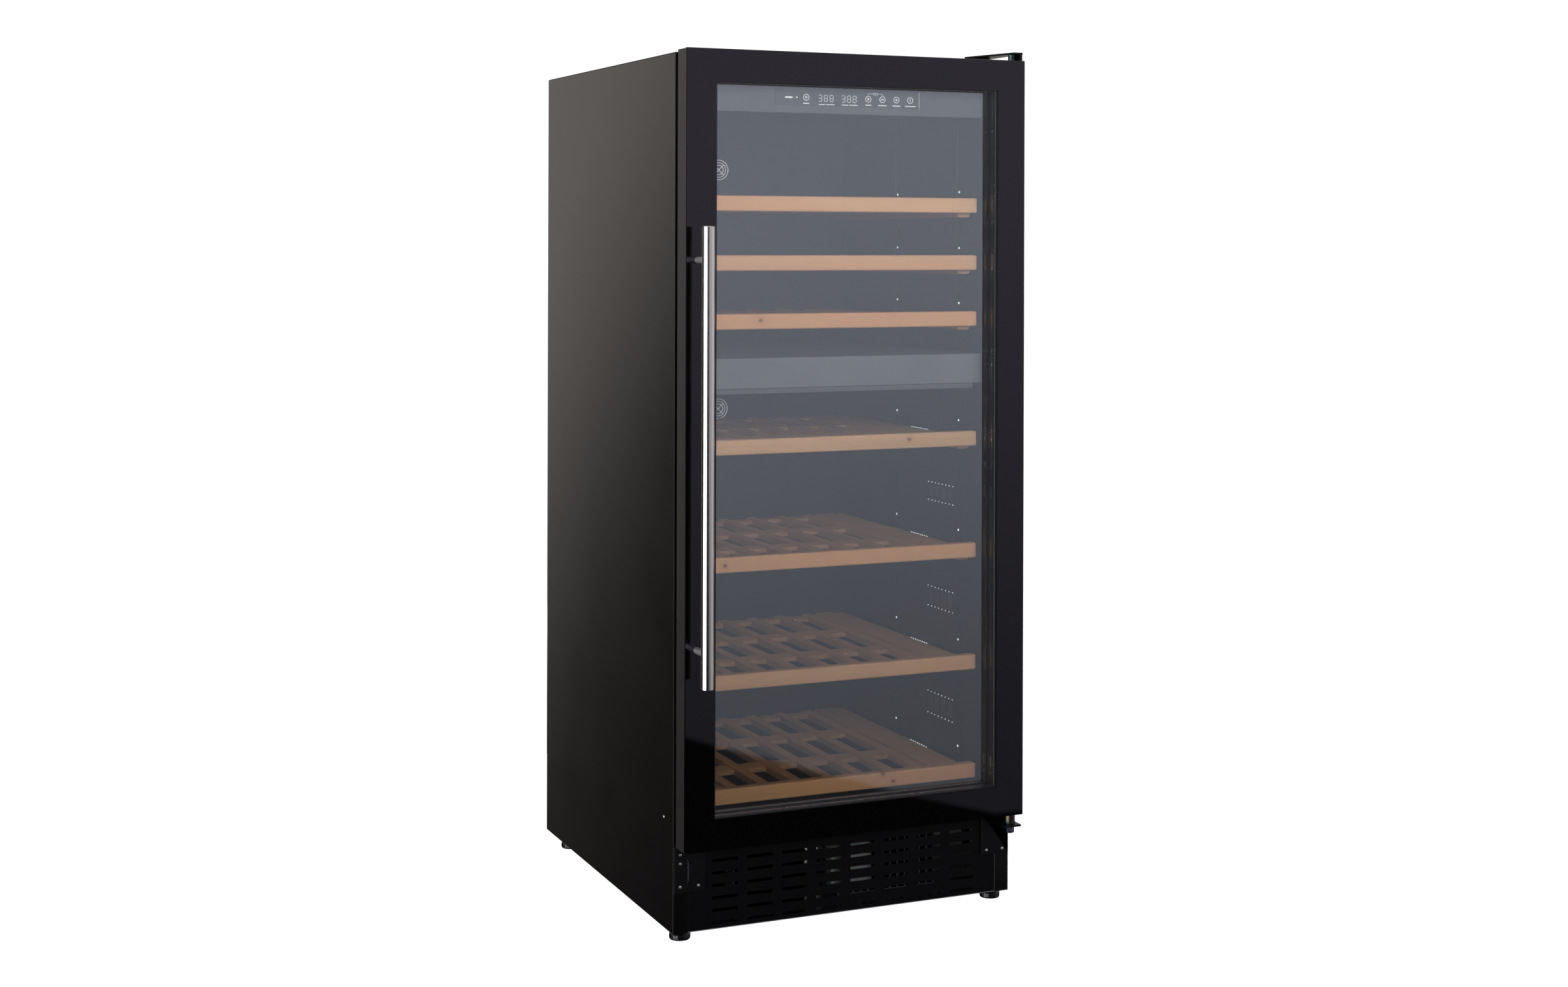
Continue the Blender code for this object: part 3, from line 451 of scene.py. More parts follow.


# %% [markdown]
# ### Small finishes
#
# These are for small things: print and display bars on the control strip, light covers, studs, rings, foam, a
# circuit board, and a near-black for painted shade in hollows. The display bars and the lamp dot glow as small
# lamps; the studs and rings glow faintly as painted highlights.

# %% Small finishes
def simple(name, colour, roughness, scale, spread=0.15, relief=0.00002, glow=None, strength=0.0):
    made = Finish(name, colour, roughness)
    mottle = made.noise(scale, 3)
    made.set("Base Color", made.blend(mottle, shaded(colour, 1 - spread), shaded(colour, 1 + spread)))
    made.set("Roughness", mottle * 0.10 + (roughness - 0.05))
    made.bump(mottle, relief)
    if glow:
        made.set("Emission Color", (*glow, 1)).set("Emission Strength", strength)
    return made


simple("white_print", (0.80, 0.84, 0.84), 0.5, 900)
simple("display_segments", (0.55, 0.60, 0.60), 0.5, 900, glow=(0.75, 0.85, 0.85), strength=0.10)
simple("light_cover", (0.085, 0.09, 0.095), 0.35, 300)
simple("lamp_dot", (0.85, 0.90, 0.95), 0.3, 300, glow=(0.8, 0.9, 1), strength=1.2)
# Painted highlight: studs and screws glow faintly white.
simple("painted_glint_glow", (0.90, 0.93, 0.93), 0.25, 300, glow=(0.9, 1, 0.97), strength=0.9)
simple("wire_box", (0.12, 0.14, 0.135), 0.4, 300)
simple("foam", (0.72, 0.64, 0.40), 0.9, 500, 0.2, 0.0003)
simple("green_board", (0.02, 0.13, 0.05), 0.4, 260)
# Painted shade: a near-black with almost no shine, put where a hollow or the dark behind the slots would be.
simple("painted_void_shade", (0.0005, 0.0005, 0.0005), 0.9, 300).set("Specular IOR Level", 0.02)
# Painted highlight: the filter rings glow faintly.
simple("ring_plastic_painted_glow", (0.85, 0.87, 0.88), 0.4, 300, glow=(0.9, 0.97, 1), strength=0.22)
print(len(finishes), "finishes in all")

# %% [markdown]
# ## Workshop helpers
#
# Every piece is a bmesh turned into an object at the origin, with its place in its mesh. `block`, `rod` and
# `turned` cover most parts: a bevelled box, a bevelled cylinder between two points, and a spun profile.

# %% Helpers
FOLD = math.radians(32)


def piece(work, name, paints, body, stands_for=()):
    """Turns a bmesh into a named object that rides on a body."""
    mesh = bpy.data.meshes.new(name)
    work.to_mesh(mesh)
    work.free()
    mesh.shade_smooth()
    mesh.set_sharp_from_angle(angle=FOLD)
    for paint in paints:
        mesh.materials.append(finishes[paint])
    made = bpy.data.objects.new(name, mesh)
    bpy.context.scene.collection.objects.link(made)
    shading = made.modifiers.new("flat faces stay flat", "WEIGHTED_NORMAL")
    shading.keep_sharp = True
    shading.weight = 60
    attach(made, body)
    if stands_for:
        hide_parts(*stands_for)
    print(f"{name}: {len(mesh.polygons)} faces on {body}")
    return made


def edges_of(faces):
    return list({edge for face in faces for edge in face.edges})


def faces_of(verts):
    return list({face for vert in verts for face in vert.link_faces})


def rounded(work, edges, width, segments=2):
    sharp = [edge for edge in edges if edge.is_valid and len(edge.link_faces) == 2]
    sharp = [edge for edge in sharp if edge.calc_face_angle(0) > FOLD]
    return bmesh.ops.bevel(
        work, geom=sharp, offset=width, offset_type="OFFSET", segments=segments,
        profile=0.5, affect="EDGES", material=-1, clamp_overlap=True,
    )["faces"]


def block(work, low, high, bevel=0.0, paint=0, segments=2, turn=None):
    """A box between two corners, its edges rounded."""
    low, high = Vector(low), Vector(high)
    fit = Matrix.Translation((low + high) / 2) @ (turn or Matrix()) @ Matrix.Diagonal((*(high - low), 1))
    verts = bmesh.ops.create_cube(work, size=1, matrix=fit)["verts"]
    faces = faces_of(verts)
    for face in faces:
        face.material_index = paint
    if bevel:
        rounded(work, edges_of(faces), bevel, segments)


def rod(work, start, end, radius, sides=16, bevel=0.0, paint=0):
    """A cylinder between two points."""
    start, end = Vector(start), Vector(end)
    way = end - start
    fit = Matrix.Translation((start + end) / 2) @ way.to_track_quat("Z", "Y").to_matrix().to_4x4()
    verts = bmesh.ops.create_cone(
        work, cap_ends=True, segments=sides, radius1=radius, radius2=radius, depth=way.length, matrix=fit,
    )["verts"]
    faces = faces_of(verts)
    for face in faces:
        face.material_index = paint
    if bevel:
        rims = [edge for edge in edges_of(faces) if edge.calc_face_angle(0) > math.radians(60)]
        rounded(work, rims, bevel)


def turned(work, profile, place, axis=(0, 0, 1), steps=32, paint=0):
    """A spun solid. The profile is (radius, height) along the axis, from one pole to the other."""
    axis = Vector(axis)
    turn = axis.to_track_quat("Z", "Y").to_matrix().to_4x4()
    fit = Matrix.Translation(place) @ turn
    corners = [work.verts.new(fit @ Vector((radius, 0, height))) for radius, height in profile]
    lines = [work.edges.new(pair) for pair in zip(corners, corners[1:])]
    bmesh.ops.spin(
        work, geom=corners + lines, cent=place, axis=axis, angle=2 * math.pi,
        steps=steps, use_merge=True, use_duplicate=False,
    )
    faces = list({face for vert in corners for face in vert.link_faces})
    reach = set(faces)
    while faces:
        beside = [other for face in faces for edge in face.edges for other in edge.link_faces]
        faces = [face for face in beside if face not in reach]
        reach.update(faces)
    verts = list({vert for face in reach for vert in face.verts})
    bmesh.ops.remove_doubles(work, verts=verts, dist=1e-6)
    reach = [face for face in reach if face.is_valid]
    bmesh.ops.recalc_face_normals(work, faces=reach)
    for face in reach:
        face.material_index = paint


def side_block(work, side_of, across, along, heights, bevel=0.0, paint=0, segments=2):
    """A box on one side of the middle plane: across is measured outwards from that plane."""
    ends = sorted(side_of * x for x in across)
    block(work, (ends[0], along[0], heights[0]), (ends[1], along[1], heights[1]), bevel, paint, segments)


def copied(node):
    """The node's solid as a clean bmesh: welded, with its flat faces whole again."""
    work = bmesh.new()
    work.from_mesh(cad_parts[node].data)
    bmesh.ops.remove_doubles(work, verts=work.verts, dist=2e-6)
    bmesh.ops.dissolve_limit(work, angle_limit=math.radians(1), verts=work.verts, edges=work.edges)
    for face in work.faces:
        face.material_index = 0
    return work


def softened(node, name, paint, width, body="cabinet", segments=2, details=None):
    """A copy of a CAD solid with its hard edges broken, and any further details added."""
    work = copied(node)
    rounded(work, work.edges[:], width, segments)
    if details:
        details(work)
    return piece(work, name, [paint], body, (node,))


def repaint(paint, *nodes):
    """Gives a CAD node a better finish, through its own material slots."""
    for node in nodes:
        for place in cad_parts[node].material_slots:
            place.material = finishes[paint]


print("helpers ready")


# %% [markdown]
# ### A screw head
#
# A pan-head screw is a low dome with a cross pressed in. The cross is five cells of a three-by-three grid, pushed
# down. The grid's rim is then drawn outward in rings to make the dome, so one small mesh serves everywhere.

# %% Screw head
def screw_head(work, place, facing, radius):
    """A cross-recessed head whose seat is at place and which looks along facing."""
    quarter = radius * 0.30
    verts = bmesh.ops.create_grid(work, x_segments=3, y_segments=3, size=quarter * 1.5)["verts"]
    grid = faces_of(verts)
    rise = radius * 0.45
    bmesh.ops.translate(work, verts=verts, vec=(0, 0, rise))
    everything = set(verts)
    rim = [edge for edge in edges_of(grid) if len(edge.link_faces) == 1]
    for level, share in ((0.92, 0.72), (0.60, 0.96), (0.0, 1.0)):
        made = bmesh.ops.extrude_edge_only(work, edges=rim)["geom"]
        fresh = [item for item in made if isinstance(item, bmesh.types.BMVert)]
        rim = [item for item in made if isinstance(item, bmesh.types.BMEdge)]
        rim = [edge for edge in rim if all(vert in fresh for vert in edge.verts)]
        for vert in fresh:
            out = Vector((vert.co.x, vert.co.y, 0)).normalized() * (share * radius)
            vert.co = (out.x, out.y, rise * level)
        everything.update(fresh)
    middles = {face: face.calc_center_median() for face in grid}
    cross = [face for face, middle in middles.items() if min(abs(middle.x), abs(middle.y)) < quarter * 0.2]
    pressed = bmesh.ops.extrude_face_region(work, geom=cross)["geom"]
    sunk = [item for item in pressed if isinstance(item, bmesh.types.BMVert)]
    bmesh.ops.translate(work, verts=sunk, vec=(0, 0, -rise * 0.7))
    bmesh.ops.delete(work, geom=[face for face in cross if face.is_valid], context="FACES_ONLY")
    everything.update(sunk)
    everything = [vert for vert in everything if vert.is_valid]
    bmesh.ops.recalc_face_normals(work, faces=faces_of(everything))
    turn = Vector(facing).to_track_quat("Z", "Y").to_matrix().to_4x4()
    bmesh.ops.transform(work, matrix=Matrix.Translation(place) @ turn, verts=everything)


def screws(name, spots, radius=0.0035, paint="screw_steel"):
    work = bmesh.new()
    for place, facing in spots:
        screw_head(work, place, facing, radius)
    return piece(work, name, [paint], "cabinet")


print("screw heads ready")

# %% [markdown]
# ## The cabinet
#
# The casing is folded steel sheet. The solids are right as they are, but their edges are perfectly sharp, which
# no folded sheet is. So each is copied, its edges are broken, and the copy stands for the solid.

# %% Casing
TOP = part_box("top_panel")[1].z
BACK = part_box("rear_panel")[1].y
for name in ("left", "right"):
    softened(f"side_panel_{name}", f"casing_side_{name}", "casing_coat", 0.0005)
softened("top_panel", "casing_top", "casing_coat", 0.0005)
softened("base_pan", "casing_base", "zinc", 0.0004)
softened("liner", "inner_tub", "inside_plastic", 0.0005)
softened("zone_divider", "divider_shelf", "divider_plastic", 0.0015, segments=3)
repaint("foam", "insulation_foam")


def rear_details(work):
    """Two pressed fields with rounded rims, which stiffen the sheet."""
    for low, high in ((0.20, 0.74), (0.80, 1.33)):
        block(work, (-0.235, BACK - 0.0008, low), (0.235, BACK + 0.0009, high), 0.0008)


softened("rear_panel", "casing_rear", "casing_coat", 0.0005, details=rear_details)
rear_spots = [(x, BACK, z) for x in (-0.288, 0.288) for z in (0.17, 0.44, 0.71, 0.98, 1.25, 1.375)]
rear_spots += [(x, BACK, 1.375) for x in (-0.14, 0.0, 0.14)]
screws("rear_screws", [(spot, (0, 1, 0)) for spot in rear_spots])

# %% [markdown]
# A small bright plug closes a hole low on each side panel, near its front edge.

# %% Side plugs
work = bmesh.new()
for side_of in (-1, 1):
    turned(
        work, [(0, 0.0010), (0.0016, 0.0009), (0.0023, 0.0004), (0.0023, -0.0004), (0, -0.0004)],
        (side_of * 0.2975, at(0.0905), 0.1885), (side_of, 0, 0), 20,
    )
piece(work, "side_plugs", ["screw_steel"], "cabinet")

# %% [markdown]
# ## The kick plate
#
# The plate has eight columns of six slots with round ends. One cell is made first: a slot's outline inside a
# rectangle, bridged into a face with a hole. Copies of the cell fill the field, their shared edges are welded,
# margins are drawn out to the plate's border, and the sheet is given its thickness at the end.

# %% Kick plate
def kick_plate():
    low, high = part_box("kick_grille")
    columns, rows, pitch_x, pitch_z, top_row = 8, 6, 0.060, 0.0194, 0.1217
    length, tall, weld = 0.044, 0.005, 1e-5
    work = bmesh.new()
    tip = (length - tall) / 2
    ring = bmesh.ops.create_circle(work, radius=tall / 2, segments=16)["verts"]
    half_step = Matrix.Rotation(math.radians(11.25), 3, "Z")
    bmesh.ops.rotate(work, verts=ring, cent=(0, 0, 0), matrix=half_step)
    for vert in ring:
        vert.co = (vert.co.x + math.copysign(tip, vert.co.x), 0, vert.co.y)
    around = ((-1, -1), (1, -1), (1, 1), (-1, 1))
    corners = [work.verts.new((x * pitch_x / 2, 0, z * pitch_z / 2)) for x, z in around]
    for first, second in zip(corners, corners[1:] + corners[:1]):
        work.edges.new((first, second))
    bmesh.ops.bridge_loops(work, edges=work.edges[:])
    cell = work.verts[:] + work.edges[:] + work.faces[:]
    grid = [(column - (columns - 1) / 2, row) for row in range(rows) for column in range(columns)]
    spots = [(column * pitch_x, top_row - row * pitch_z) for column, row in grid]
    for x, z in spots[1:]:
        made = bmesh.ops.duplicate(work, geom=cell)["geom"]
        fresh = [item for item in made if isinstance(item, bmesh.types.BMVert)]
        bmesh.ops.translate(work, verts=fresh, vec=(x, high.y, z))
    first = [item for item in cell if isinstance(item, bmesh.types.BMVert)]
    bmesh.ops.translate(work, verts=first, vec=(spots[0][0], high.y, spots[0][1]))
    bmesh.ops.remove_doubles(work, verts=work.verts, dist=weld)
    field_x, field_high = columns / 2 * pitch_x, top_row + pitch_z / 2
    field_low = top_row - (rows - 0.5) * pitch_z
    for vert in work.verts:
        if abs(vert.co.z - field_low) < weld:
            vert.co.z = low.z
    for index, border, limit in ((0, -field_x, low.x), (0, field_x, high.x), (2, field_high, high.z)):
        rim = [edge for edge in work.edges if len(edge.link_faces) == 1]
        rim = [edge for edge in rim if all(abs(vert.co[index] - border) < weld for vert in edge.verts)]
        made = bmesh.ops.extrude_edge_only(work, edges=rim)["geom"]
        for vert in made:
            if isinstance(vert, bmesh.types.BMVert):
                vert.co[index] = limit
    bmesh.ops.remove_doubles(work, verts=work.verts, dist=weld)
    bmesh.ops.recalc_face_normals(work, faces=work.faces)
    if sum(face.normal.y * face.calc_area() for face in work.faces) > 0:
        bmesh.ops.reverse_faces(work, faces=work.faces)
    bmesh.ops.solidify(work, geom=work.faces[:], thickness=high.y - low.y)
    bmesh.ops.recalc_face_normals(work, faces=work.faces)
    return piece(work, "kick_plate", ["kick_coat"], "cabinet", ("kick_grille",))


kick_plate()

# %% [markdown]
# ## Brackets at the foot
#
# The left corner has a blank bracket, which would carry the hinge if the door were hung the other way. Its middle
# is pressed out into a long triangle. The right one carries the real hinge: an arm under the door, the pin's
# collar, and a hexagon nut.

# %% Blank and hinge brackets
POINT_DOWN = Matrix.Rotation(math.radians(90), 4, "X") @ Matrix.Rotation(math.radians(-90), 4, "Z")


def blank_details(work):
    """The long triangle: a three-sided cone, stood up and stretched."""
    low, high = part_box("blank_bracket")
    middle = (low.x + high.x) / 2 + 0.002
    fit = Matrix.Translation((middle, low.y - 0.0008, 0.112)) @ Matrix.Diagonal((0.72, 1, 1.35, 1))
    fit = fit @ POINT_DOWN
    verts = bmesh.ops.create_cone(
        work, cap_ends=True, segments=3, radius1=0.017, radius2=0.0125, depth=0.0032, matrix=fit
    )["verts"]
    rounded(work, edges_of(faces_of(verts)), 0.0006)


PLATE_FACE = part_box("blank_bracket")[0].y
softened("blank_bracket", "blank_plate", "bracket_coat", 0.0006, details=blank_details)
softened("lower_hinge_bracket", "hinge_bracket", "bracket_coat", 0.0006)
left_spots = [(-0.287, 0.138), (-0.287, 0.124), (-0.287, 0.088), (-0.2566, 0.0875)]
right_spots = [(0.2547, 0.0858), (0.2843, 0.0858)]
spots = [((x, PLATE_FACE, z), (0, -1, 0)) for x, z in left_spots + right_spots]
screws("bracket_screws", spots, 0.0026)


NUT_AND_WASHER = ((None, 0.1317, 0.0078, 6, 0.0005), (0.1305, 0.1318, 0.0088, 24, 0.0003))


def hinge_pin():
    low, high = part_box("lower_hinge_pin")
    centre = (low + high) / 2
    work = bmesh.new()
    arm_top = 0.1355
    pin, collar, door_low = 0.004, 0.009, 0.1517
    profile = [(0, high.z), (pin - 0.0008, high.z), (pin, high.z - 0.0008), (pin, door_low)]
    profile += [(collar - 0.0008, door_low), (collar, door_low - 0.0008), (collar, arm_top + 0.0006)]
    profile += [(0.0037, arm_top + 0.0003), (0.0037, low.z), (0, low.z)]
    turned(work, profile, (centre.x, centre.y, 0), steps=28)
    for start, end, radius, sides, bevel in NUT_AND_WASHER:
        start, end = (centre.x, centre.y, start or low.z + 0.001), (centre.x, centre.y, end)
        rod(work, start, end, radius, sides, bevel)
    return piece(work, "hinge_pin_lower", ["pin_steel"], "cabinet", ("lower_hinge_pin",))


hinge_pin()

# %% Top hinge
softened("top_hinge_plate", "hinge_plate_top", "bracket_coat", 0.0005)
repaint("pin_steel", "top_hinge_pin")
spots = [((x, at(0.138), TOP + 0.0033), (0, 0, 1)) for x in (0.258, 0.271, 0.284)]
screws("hinge_plate_screws", spots, 0.0034)

# %% [markdown]
# ## Feet
#
# Each foot is a threaded stud with a moulded tread, whose skirt is ribbed for the fingers.

# %% Feet
TREAD = [(0.0060, 0.0100), (0.0135, 0.0092), (0.0155, 0.0080), (0.0158, 0.0060)]
TREAD += [(0.0155, 0.0020), (0.0165, 0.0012), (0.0160, 0.0), (0, 0.0)]
RIBS, RIB_REACH = 18, Vector((0.0011, 0.0011, 0.0032))
for name in ("front_left", "front_right", "rear_left", "rear_right"):
    low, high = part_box(f"foot_{name}")
    centre = (low + high) / 2
    work = bmesh.new()
    turned(work, [(0, high.z), (0.0060, high.z), *TREAD], (centre.x, centre.y, 0), steps=36)
    for rib in range(RIBS):
        turn = Matrix.Rotation(2 * math.pi * rib / RIBS, 4, "Z")
        spot = Vector((centre.x, centre.y, 0)) + turn @ Vector((0.0158, 0, 0.005))
        block(work, spot - RIB_REACH, spot + RIB_REACH, 0.0004, turn=turn)
    foot = f"foot_{name}"
    piece(work, f"levelling_{foot}", ["foot_plastic"], foot, (foot,))

# %% [markdown]
# ## The door
#
# The front pane is a slab with ground edges. Cuts along the window's four sides split its faces, so the middle
# can be clear and the rest printed. The frame behind it is a moulding with soft edges.

# %% Front pane and frame
WINDOW_X, WINDOW_LOW, WINDOW_HIGH = 0.248, 0.2004, 1.3389
low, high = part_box("door_front_glass")
work = bmesh.new()
block(work, low, high, 0.0008)
across, up = Vector((1, 0, 0)), Vector((0, 0, 1))
for facing, limits in ((across, (-WINDOW_X, WINDOW_X)), (up, (WINDOW_LOW, WINDOW_HIGH))):
    for limit in limits:
        whole = work.verts[:] + work.edges[:] + work.faces[:]
        bmesh.ops.bisect_plane(work, geom=whole, dist=1e-6, plane_co=facing * limit, plane_no=facing)
for face in work.faces:
    middle = face.calc_center_median()
    if abs(middle.x) < WINDOW_X and WINDOW_LOW < middle.z < WINDOW_HIGH:
        face.material_index = 1 if face.normal.y < 0 else 2
paints = ["printed_border", "front_pane", "pane_back"]
piece(work, "door_pane_front", paints, "door", ("door_front_glass",))
softened("door_frame", "door_moulding", "door_plastic", 0.0007, "door")

# %% [markdown]
# The inner pane is a thin box. Only its front face has the mirror film; the others are left almost clear, or
# the film would be counted twice.

# %% Inner pane
low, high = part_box("door_inner_pane")
work = bmesh.new()
block(work, low, high, 0.0005)
for face in work.faces:
    face.material_index = 0 if face.normal.y < -0.9 else 1
piece(work, "door_pane_inner", ["film_pane", "pane_back"], "door", ("door_inner_pane",))

# %% [markdown]
# The spacer between the panes is a black metal bar with a row of tiny bright marks, the vents of its drying beads,
# and a bright line of sealant. The gasket is a bellows: its section is drawn at one corner, copied to the other three, and
# the four sections are bridged.

# %% Spacer and gasket
def framed(work, half_width, low, high, section, paint=0):
    """A rectangular ring with mitred corners. The section is (inset, depth) points."""
    loops = []
    for side_of, z, up in ((-1, low, 1), (1, low, 1), (1, high, -1), (-1, high, -1)):
        spots = [(side_of * (half_width - inset), at(depth), z + up * inset) for inset, depth in section]
        corners = [work.verts.new(spot) for spot in spots]
        loops.append([work.edges.new(pair) for pair in zip(corners, corners[1:] + corners[:1])])
    faces = []
    for first, second in zip(loops, loops[1:] + loops[:1]):
        faces += bmesh.ops.bridge_loops(work, edges=first + second)["faces"]
    for face in faces:
        face.material_index = paint
    bmesh.ops.recalc_face_normals(work, faces=faces)


low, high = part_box("glazing_spacer")
work = bmesh.new()
wide, dot_pitch = 0.0078, 0.006
bar = [(0, 0.0044), (0.0070, 0.0044), (wide, 0.0052), (wide, 0.0248), (0.0070, 0.0256), (0, 0.0256)]
framed(work, high.x, low.z, high.z, bar)
face_x, inset = high.x - wide, wide - 0.0002
seal = [(0, 0.0140), (0.0004, 0.0140), (0.0004, 0.0152), (0, 0.0152)]
framed(work, face_x + 0.0002, low.z + inset, high.z - inset, seal, 1)
for side_of in (-1, 1):
    for step in range(int((high.z - low.z - 0.03) / dot_pitch)):
        z = low.z + 0.018 + step * dot_pitch
        across = (face_x - 0.0004, face_x + 0.0004)
        side_block(work, side_of, across, (at(0.0070), at(0.0076)), (z, z + 0.0008), paint=1)
piece(work, "pane_spacer", ["spacer_metal", "screw_steel"], "door", ("glazing_spacer",))

low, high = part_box("door_gasket")
work = bmesh.new()
folds = [(0.0, 0.0393), (0.0, 0.0408), (0.0022, 0.0420), (0.0004, 0.0438), (0.0022, 0.0456), (0.0, 0.0468)]
folds.append((0.0, 0.0487))
bellows = folds + [(0.0160 - inset, depth) for inset, depth in reversed(folds)]
framed(work, high.x, low.z, high.z, bellows)
piece(work, "door_bellows", ["seal_rubber"], "door", ("door_gasket",))

# %% [markdown]
# ## The handle
#
# The bar is a spun profile with a small chamfer at each end. Two posts hold it: each is a short satin rod that
# stands on the glass and ends inside the bar.

# %% Handle
low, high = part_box("handle_bar")
bar = (low + high) / 2
radius = (high.x - low.x) / 2
work = bmesh.new()
chamfer, dish = 0.0010, 0.0004
upper = [(0, -dish), (radius - 0.0030, 0), (radius - chamfer, 0), (radius, -chamfer)]
profile = [(x, high.z + z) for x, z in upper] + [(x, low.z - z) for x, z in reversed(upper)]
turned(work, profile, (bar.x, bar.y, 0), steps=56)
piece(work, "bar_handle", ["bar_steel"], "door", ("handle_bar",))
for name in ("upper", "lower"):
    low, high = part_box(f"handle_post_{name}")
    post = (low + high) / 2
    work = bmesh.new()
    reach = high.y - low.y
    profile = [(0, 0), (0.0046, 0), (0.0050, 0.0005), (0.0050, reach - 0.0004)]
    profile += [(0.0046, reach + 0.0010), (0, reach + 0.0010)]
    turned(work, profile, (post.x, high.y, post.z), (0, -1, 0))
    piece(work, f"handle_stem_{name}", ["post_steel"], "door", (f"handle_post_{name}",))

# %% [markdown]
# ## Shelves
#
# Each rack is glued up from planed beech: a front rail on edge, seven slats and two side boards running back,
# cross pieces let in flush, and a runner block at each side. Each member is its own rounded bar, with the finish
# whose grain runs its way, and the cross pieces lie a hair lower, as they do on the real joint.

# %% Beech racks
CROSS_PIECES = ((0.0822, 0.1016), (0.224, 0.264), (0.394, 0.434), (0.557, 0.5848))
SLAT_PITCH, SLAT_HALF = 0.0567, 0.009


def rack(number):
    top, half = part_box(f"shelf_{number}")[1].z, 0.245
    work = bmesh.new()
    front, back = at(0.0646), at(0.585)
    board_front = front + 0.0175
    slat_top, slat_low = top - 0.011, top - 0.023
    block(work, (-half, front, top - 0.025), (half, front + 0.018, top), 0.0030, 0, 3)
    for slat in range(7):
        x = (slat - 3) * SLAT_PITCH
        block(work, (x - SLAT_HALF, board_front, slat_low), (x + SLAT_HALF, back, slat_top), 0.0014, 2)
    for side_of in (-1, 1):
        side_block(work, side_of, (0.187, 0.2230), (board_front, back), (slat_low, slat_top), 0.0014, 2)
        heights = (top - 0.032, slat_top - 0.0010)
        side_block(work, side_of, (0.2225, 0.2460), (front + 0.0260, back - 0.001), heights, 0.0040, 2, 3)
    for start, end in CROSS_PIECES:
        block(work, (-0.188, at(start), slat_low + 0.0020), (0.188, at(end), slat_top - 0.0030), 0.0008, 1)
    for face in work.faces:
        # The cross pieces' front faces take the darkened copy, painted shade for the rack's shadow on them.
        if face.material_index == 1 and face.normal.y < -0.9:
            face.material_index = 3
    shelf, paints = f"shelf_{number}", ["beech_rail", "beech_cross", "beech_slat", "beech_painted_shade"]
    return piece(work, f"beech_rack_{number}", paints, shelf, (shelf,))


def glide_studs(number):
    """Eight studs on each runner block, which ease the rack over the ladder; they glow faintly as a painted
    highlight.
    """
    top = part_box(f"shelf_{number}")[1].z
    work = bmesh.new()
    profile = [(0, 0.0012), (0.0010, 0.0010), (0.0015, 0.0), (0, 0.0)]
    for side_of in (-1, 1):
        for step in range(8):
            turned(work, profile, (side_of * 0.2432, at(0.2400 + step * 0.0083), top - 0.0122), steps=10)
    return piece(work, f"glide_studs_{number}", ["painted_glint_glow"], f"shelf_{number}")


for number in range(1, 8):
    rack(number)
    glide_studs(number)

# %% [markdown]
# ## Runners, screws and air holes on the side walls
#
# A zinc ladder on each wall carries the racks. Above each rack the wall has two screws. Between the racks
# of the lower zone it has moulded air plaques, each with a row of small studs above and below. Screws and studs
# glow faintly white, a painted highlight.

# %% Ladders
TOPS = [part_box(f"shelf_{number}")[1].z for number in range(1, 8)]
WALL = 0.2525
for zone in ("upper", "lower"):
    for name in ("left", "right"):
        node = f"runner_frame_{zone}_{name}"
        softened(node, f"ladder_{zone}_{name}", "dark_zinc", 0.0003, segments=1)

# %% Painted highlights on the ladders' edges
# Thin pale strips on the ladder uprights' edges: painted highlights where the edges would catch light.
work = bmesh.new()
for side_of in (-1, 1):
    for depth in (0.1455, 0.3794):
        side_block(work, side_of, (0.2504, 0.2512), (at(depth), at(depth + 0.0004)), (0.925, 1.300))
piece(work, "ladder_painted_highlights", ["fascia_plastic"], "cabinet")

# %% Wall screws, holes and plaques
PLAQUE_HEIGHTS = ((0.6405, 0.6787), (0.457, 0.498), (0.271, 0.3156))
wall_spots = []
plaques = bmesh.new()
dots = bmesh.new()
dot_profile = [(0, 0.0007), (0.0009, 0.0005), (0.0012, -0.0003), (0, -0.0003)]
for side_of in (-1, 1):
    inward = (-side_of, 0, 0)
    for top in TOPS:
        for depth in (0.1385, 0.3705):
            wall_spots.append(((side_of * (WALL - 0.0020), at(depth), top + 0.0115), inward))
    face_x = WALL - 0.0014
    for low_z, high_z in PLAQUE_HEIGHTS:
        side_block(plaques, side_of, (WALL + 0.0002, face_x), (at(0.155), at(0.254)), (low_z, high_z), 0.0008)
        across, heights = (face_x - 0.0004, face_x + 0.0004), (low_z + 0.010, high_z - 0.010)
        for cell in range(4):
            start = 0.162 + cell * 0.0235
            side_block(plaques, side_of, across, (at(start), at(start + 0.014)), heights, 0.0003, 1)
        for step in range(8):
            for z in (low_z + 0.0035, high_z - 0.0035):
                turned(dots, dot_profile, (side_of * face_x, at(0.1595 + step * 0.0128), z), inward, 10)
# The wall screws and studs take the faintly glowing finish, a painted highlight.
screws("wall_screws", wall_spots, 0.0019, "painted_glint_glow")
piece(plaques, "air_plaques", ["inside_plastic", "fascia_plastic"], "cabinet")
piece(dots, "air_hole_studs", ["painted_glint_glow"], "cabinet")

# %% [markdown]
# ## Back wall
#
# Each zone has a cover over its evaporator, with a round filter cartridge: three pale rings, which glow faintly as
# a painted highlight, and a diagonal cross over a near-black disc, painted shade standing for the hollow.

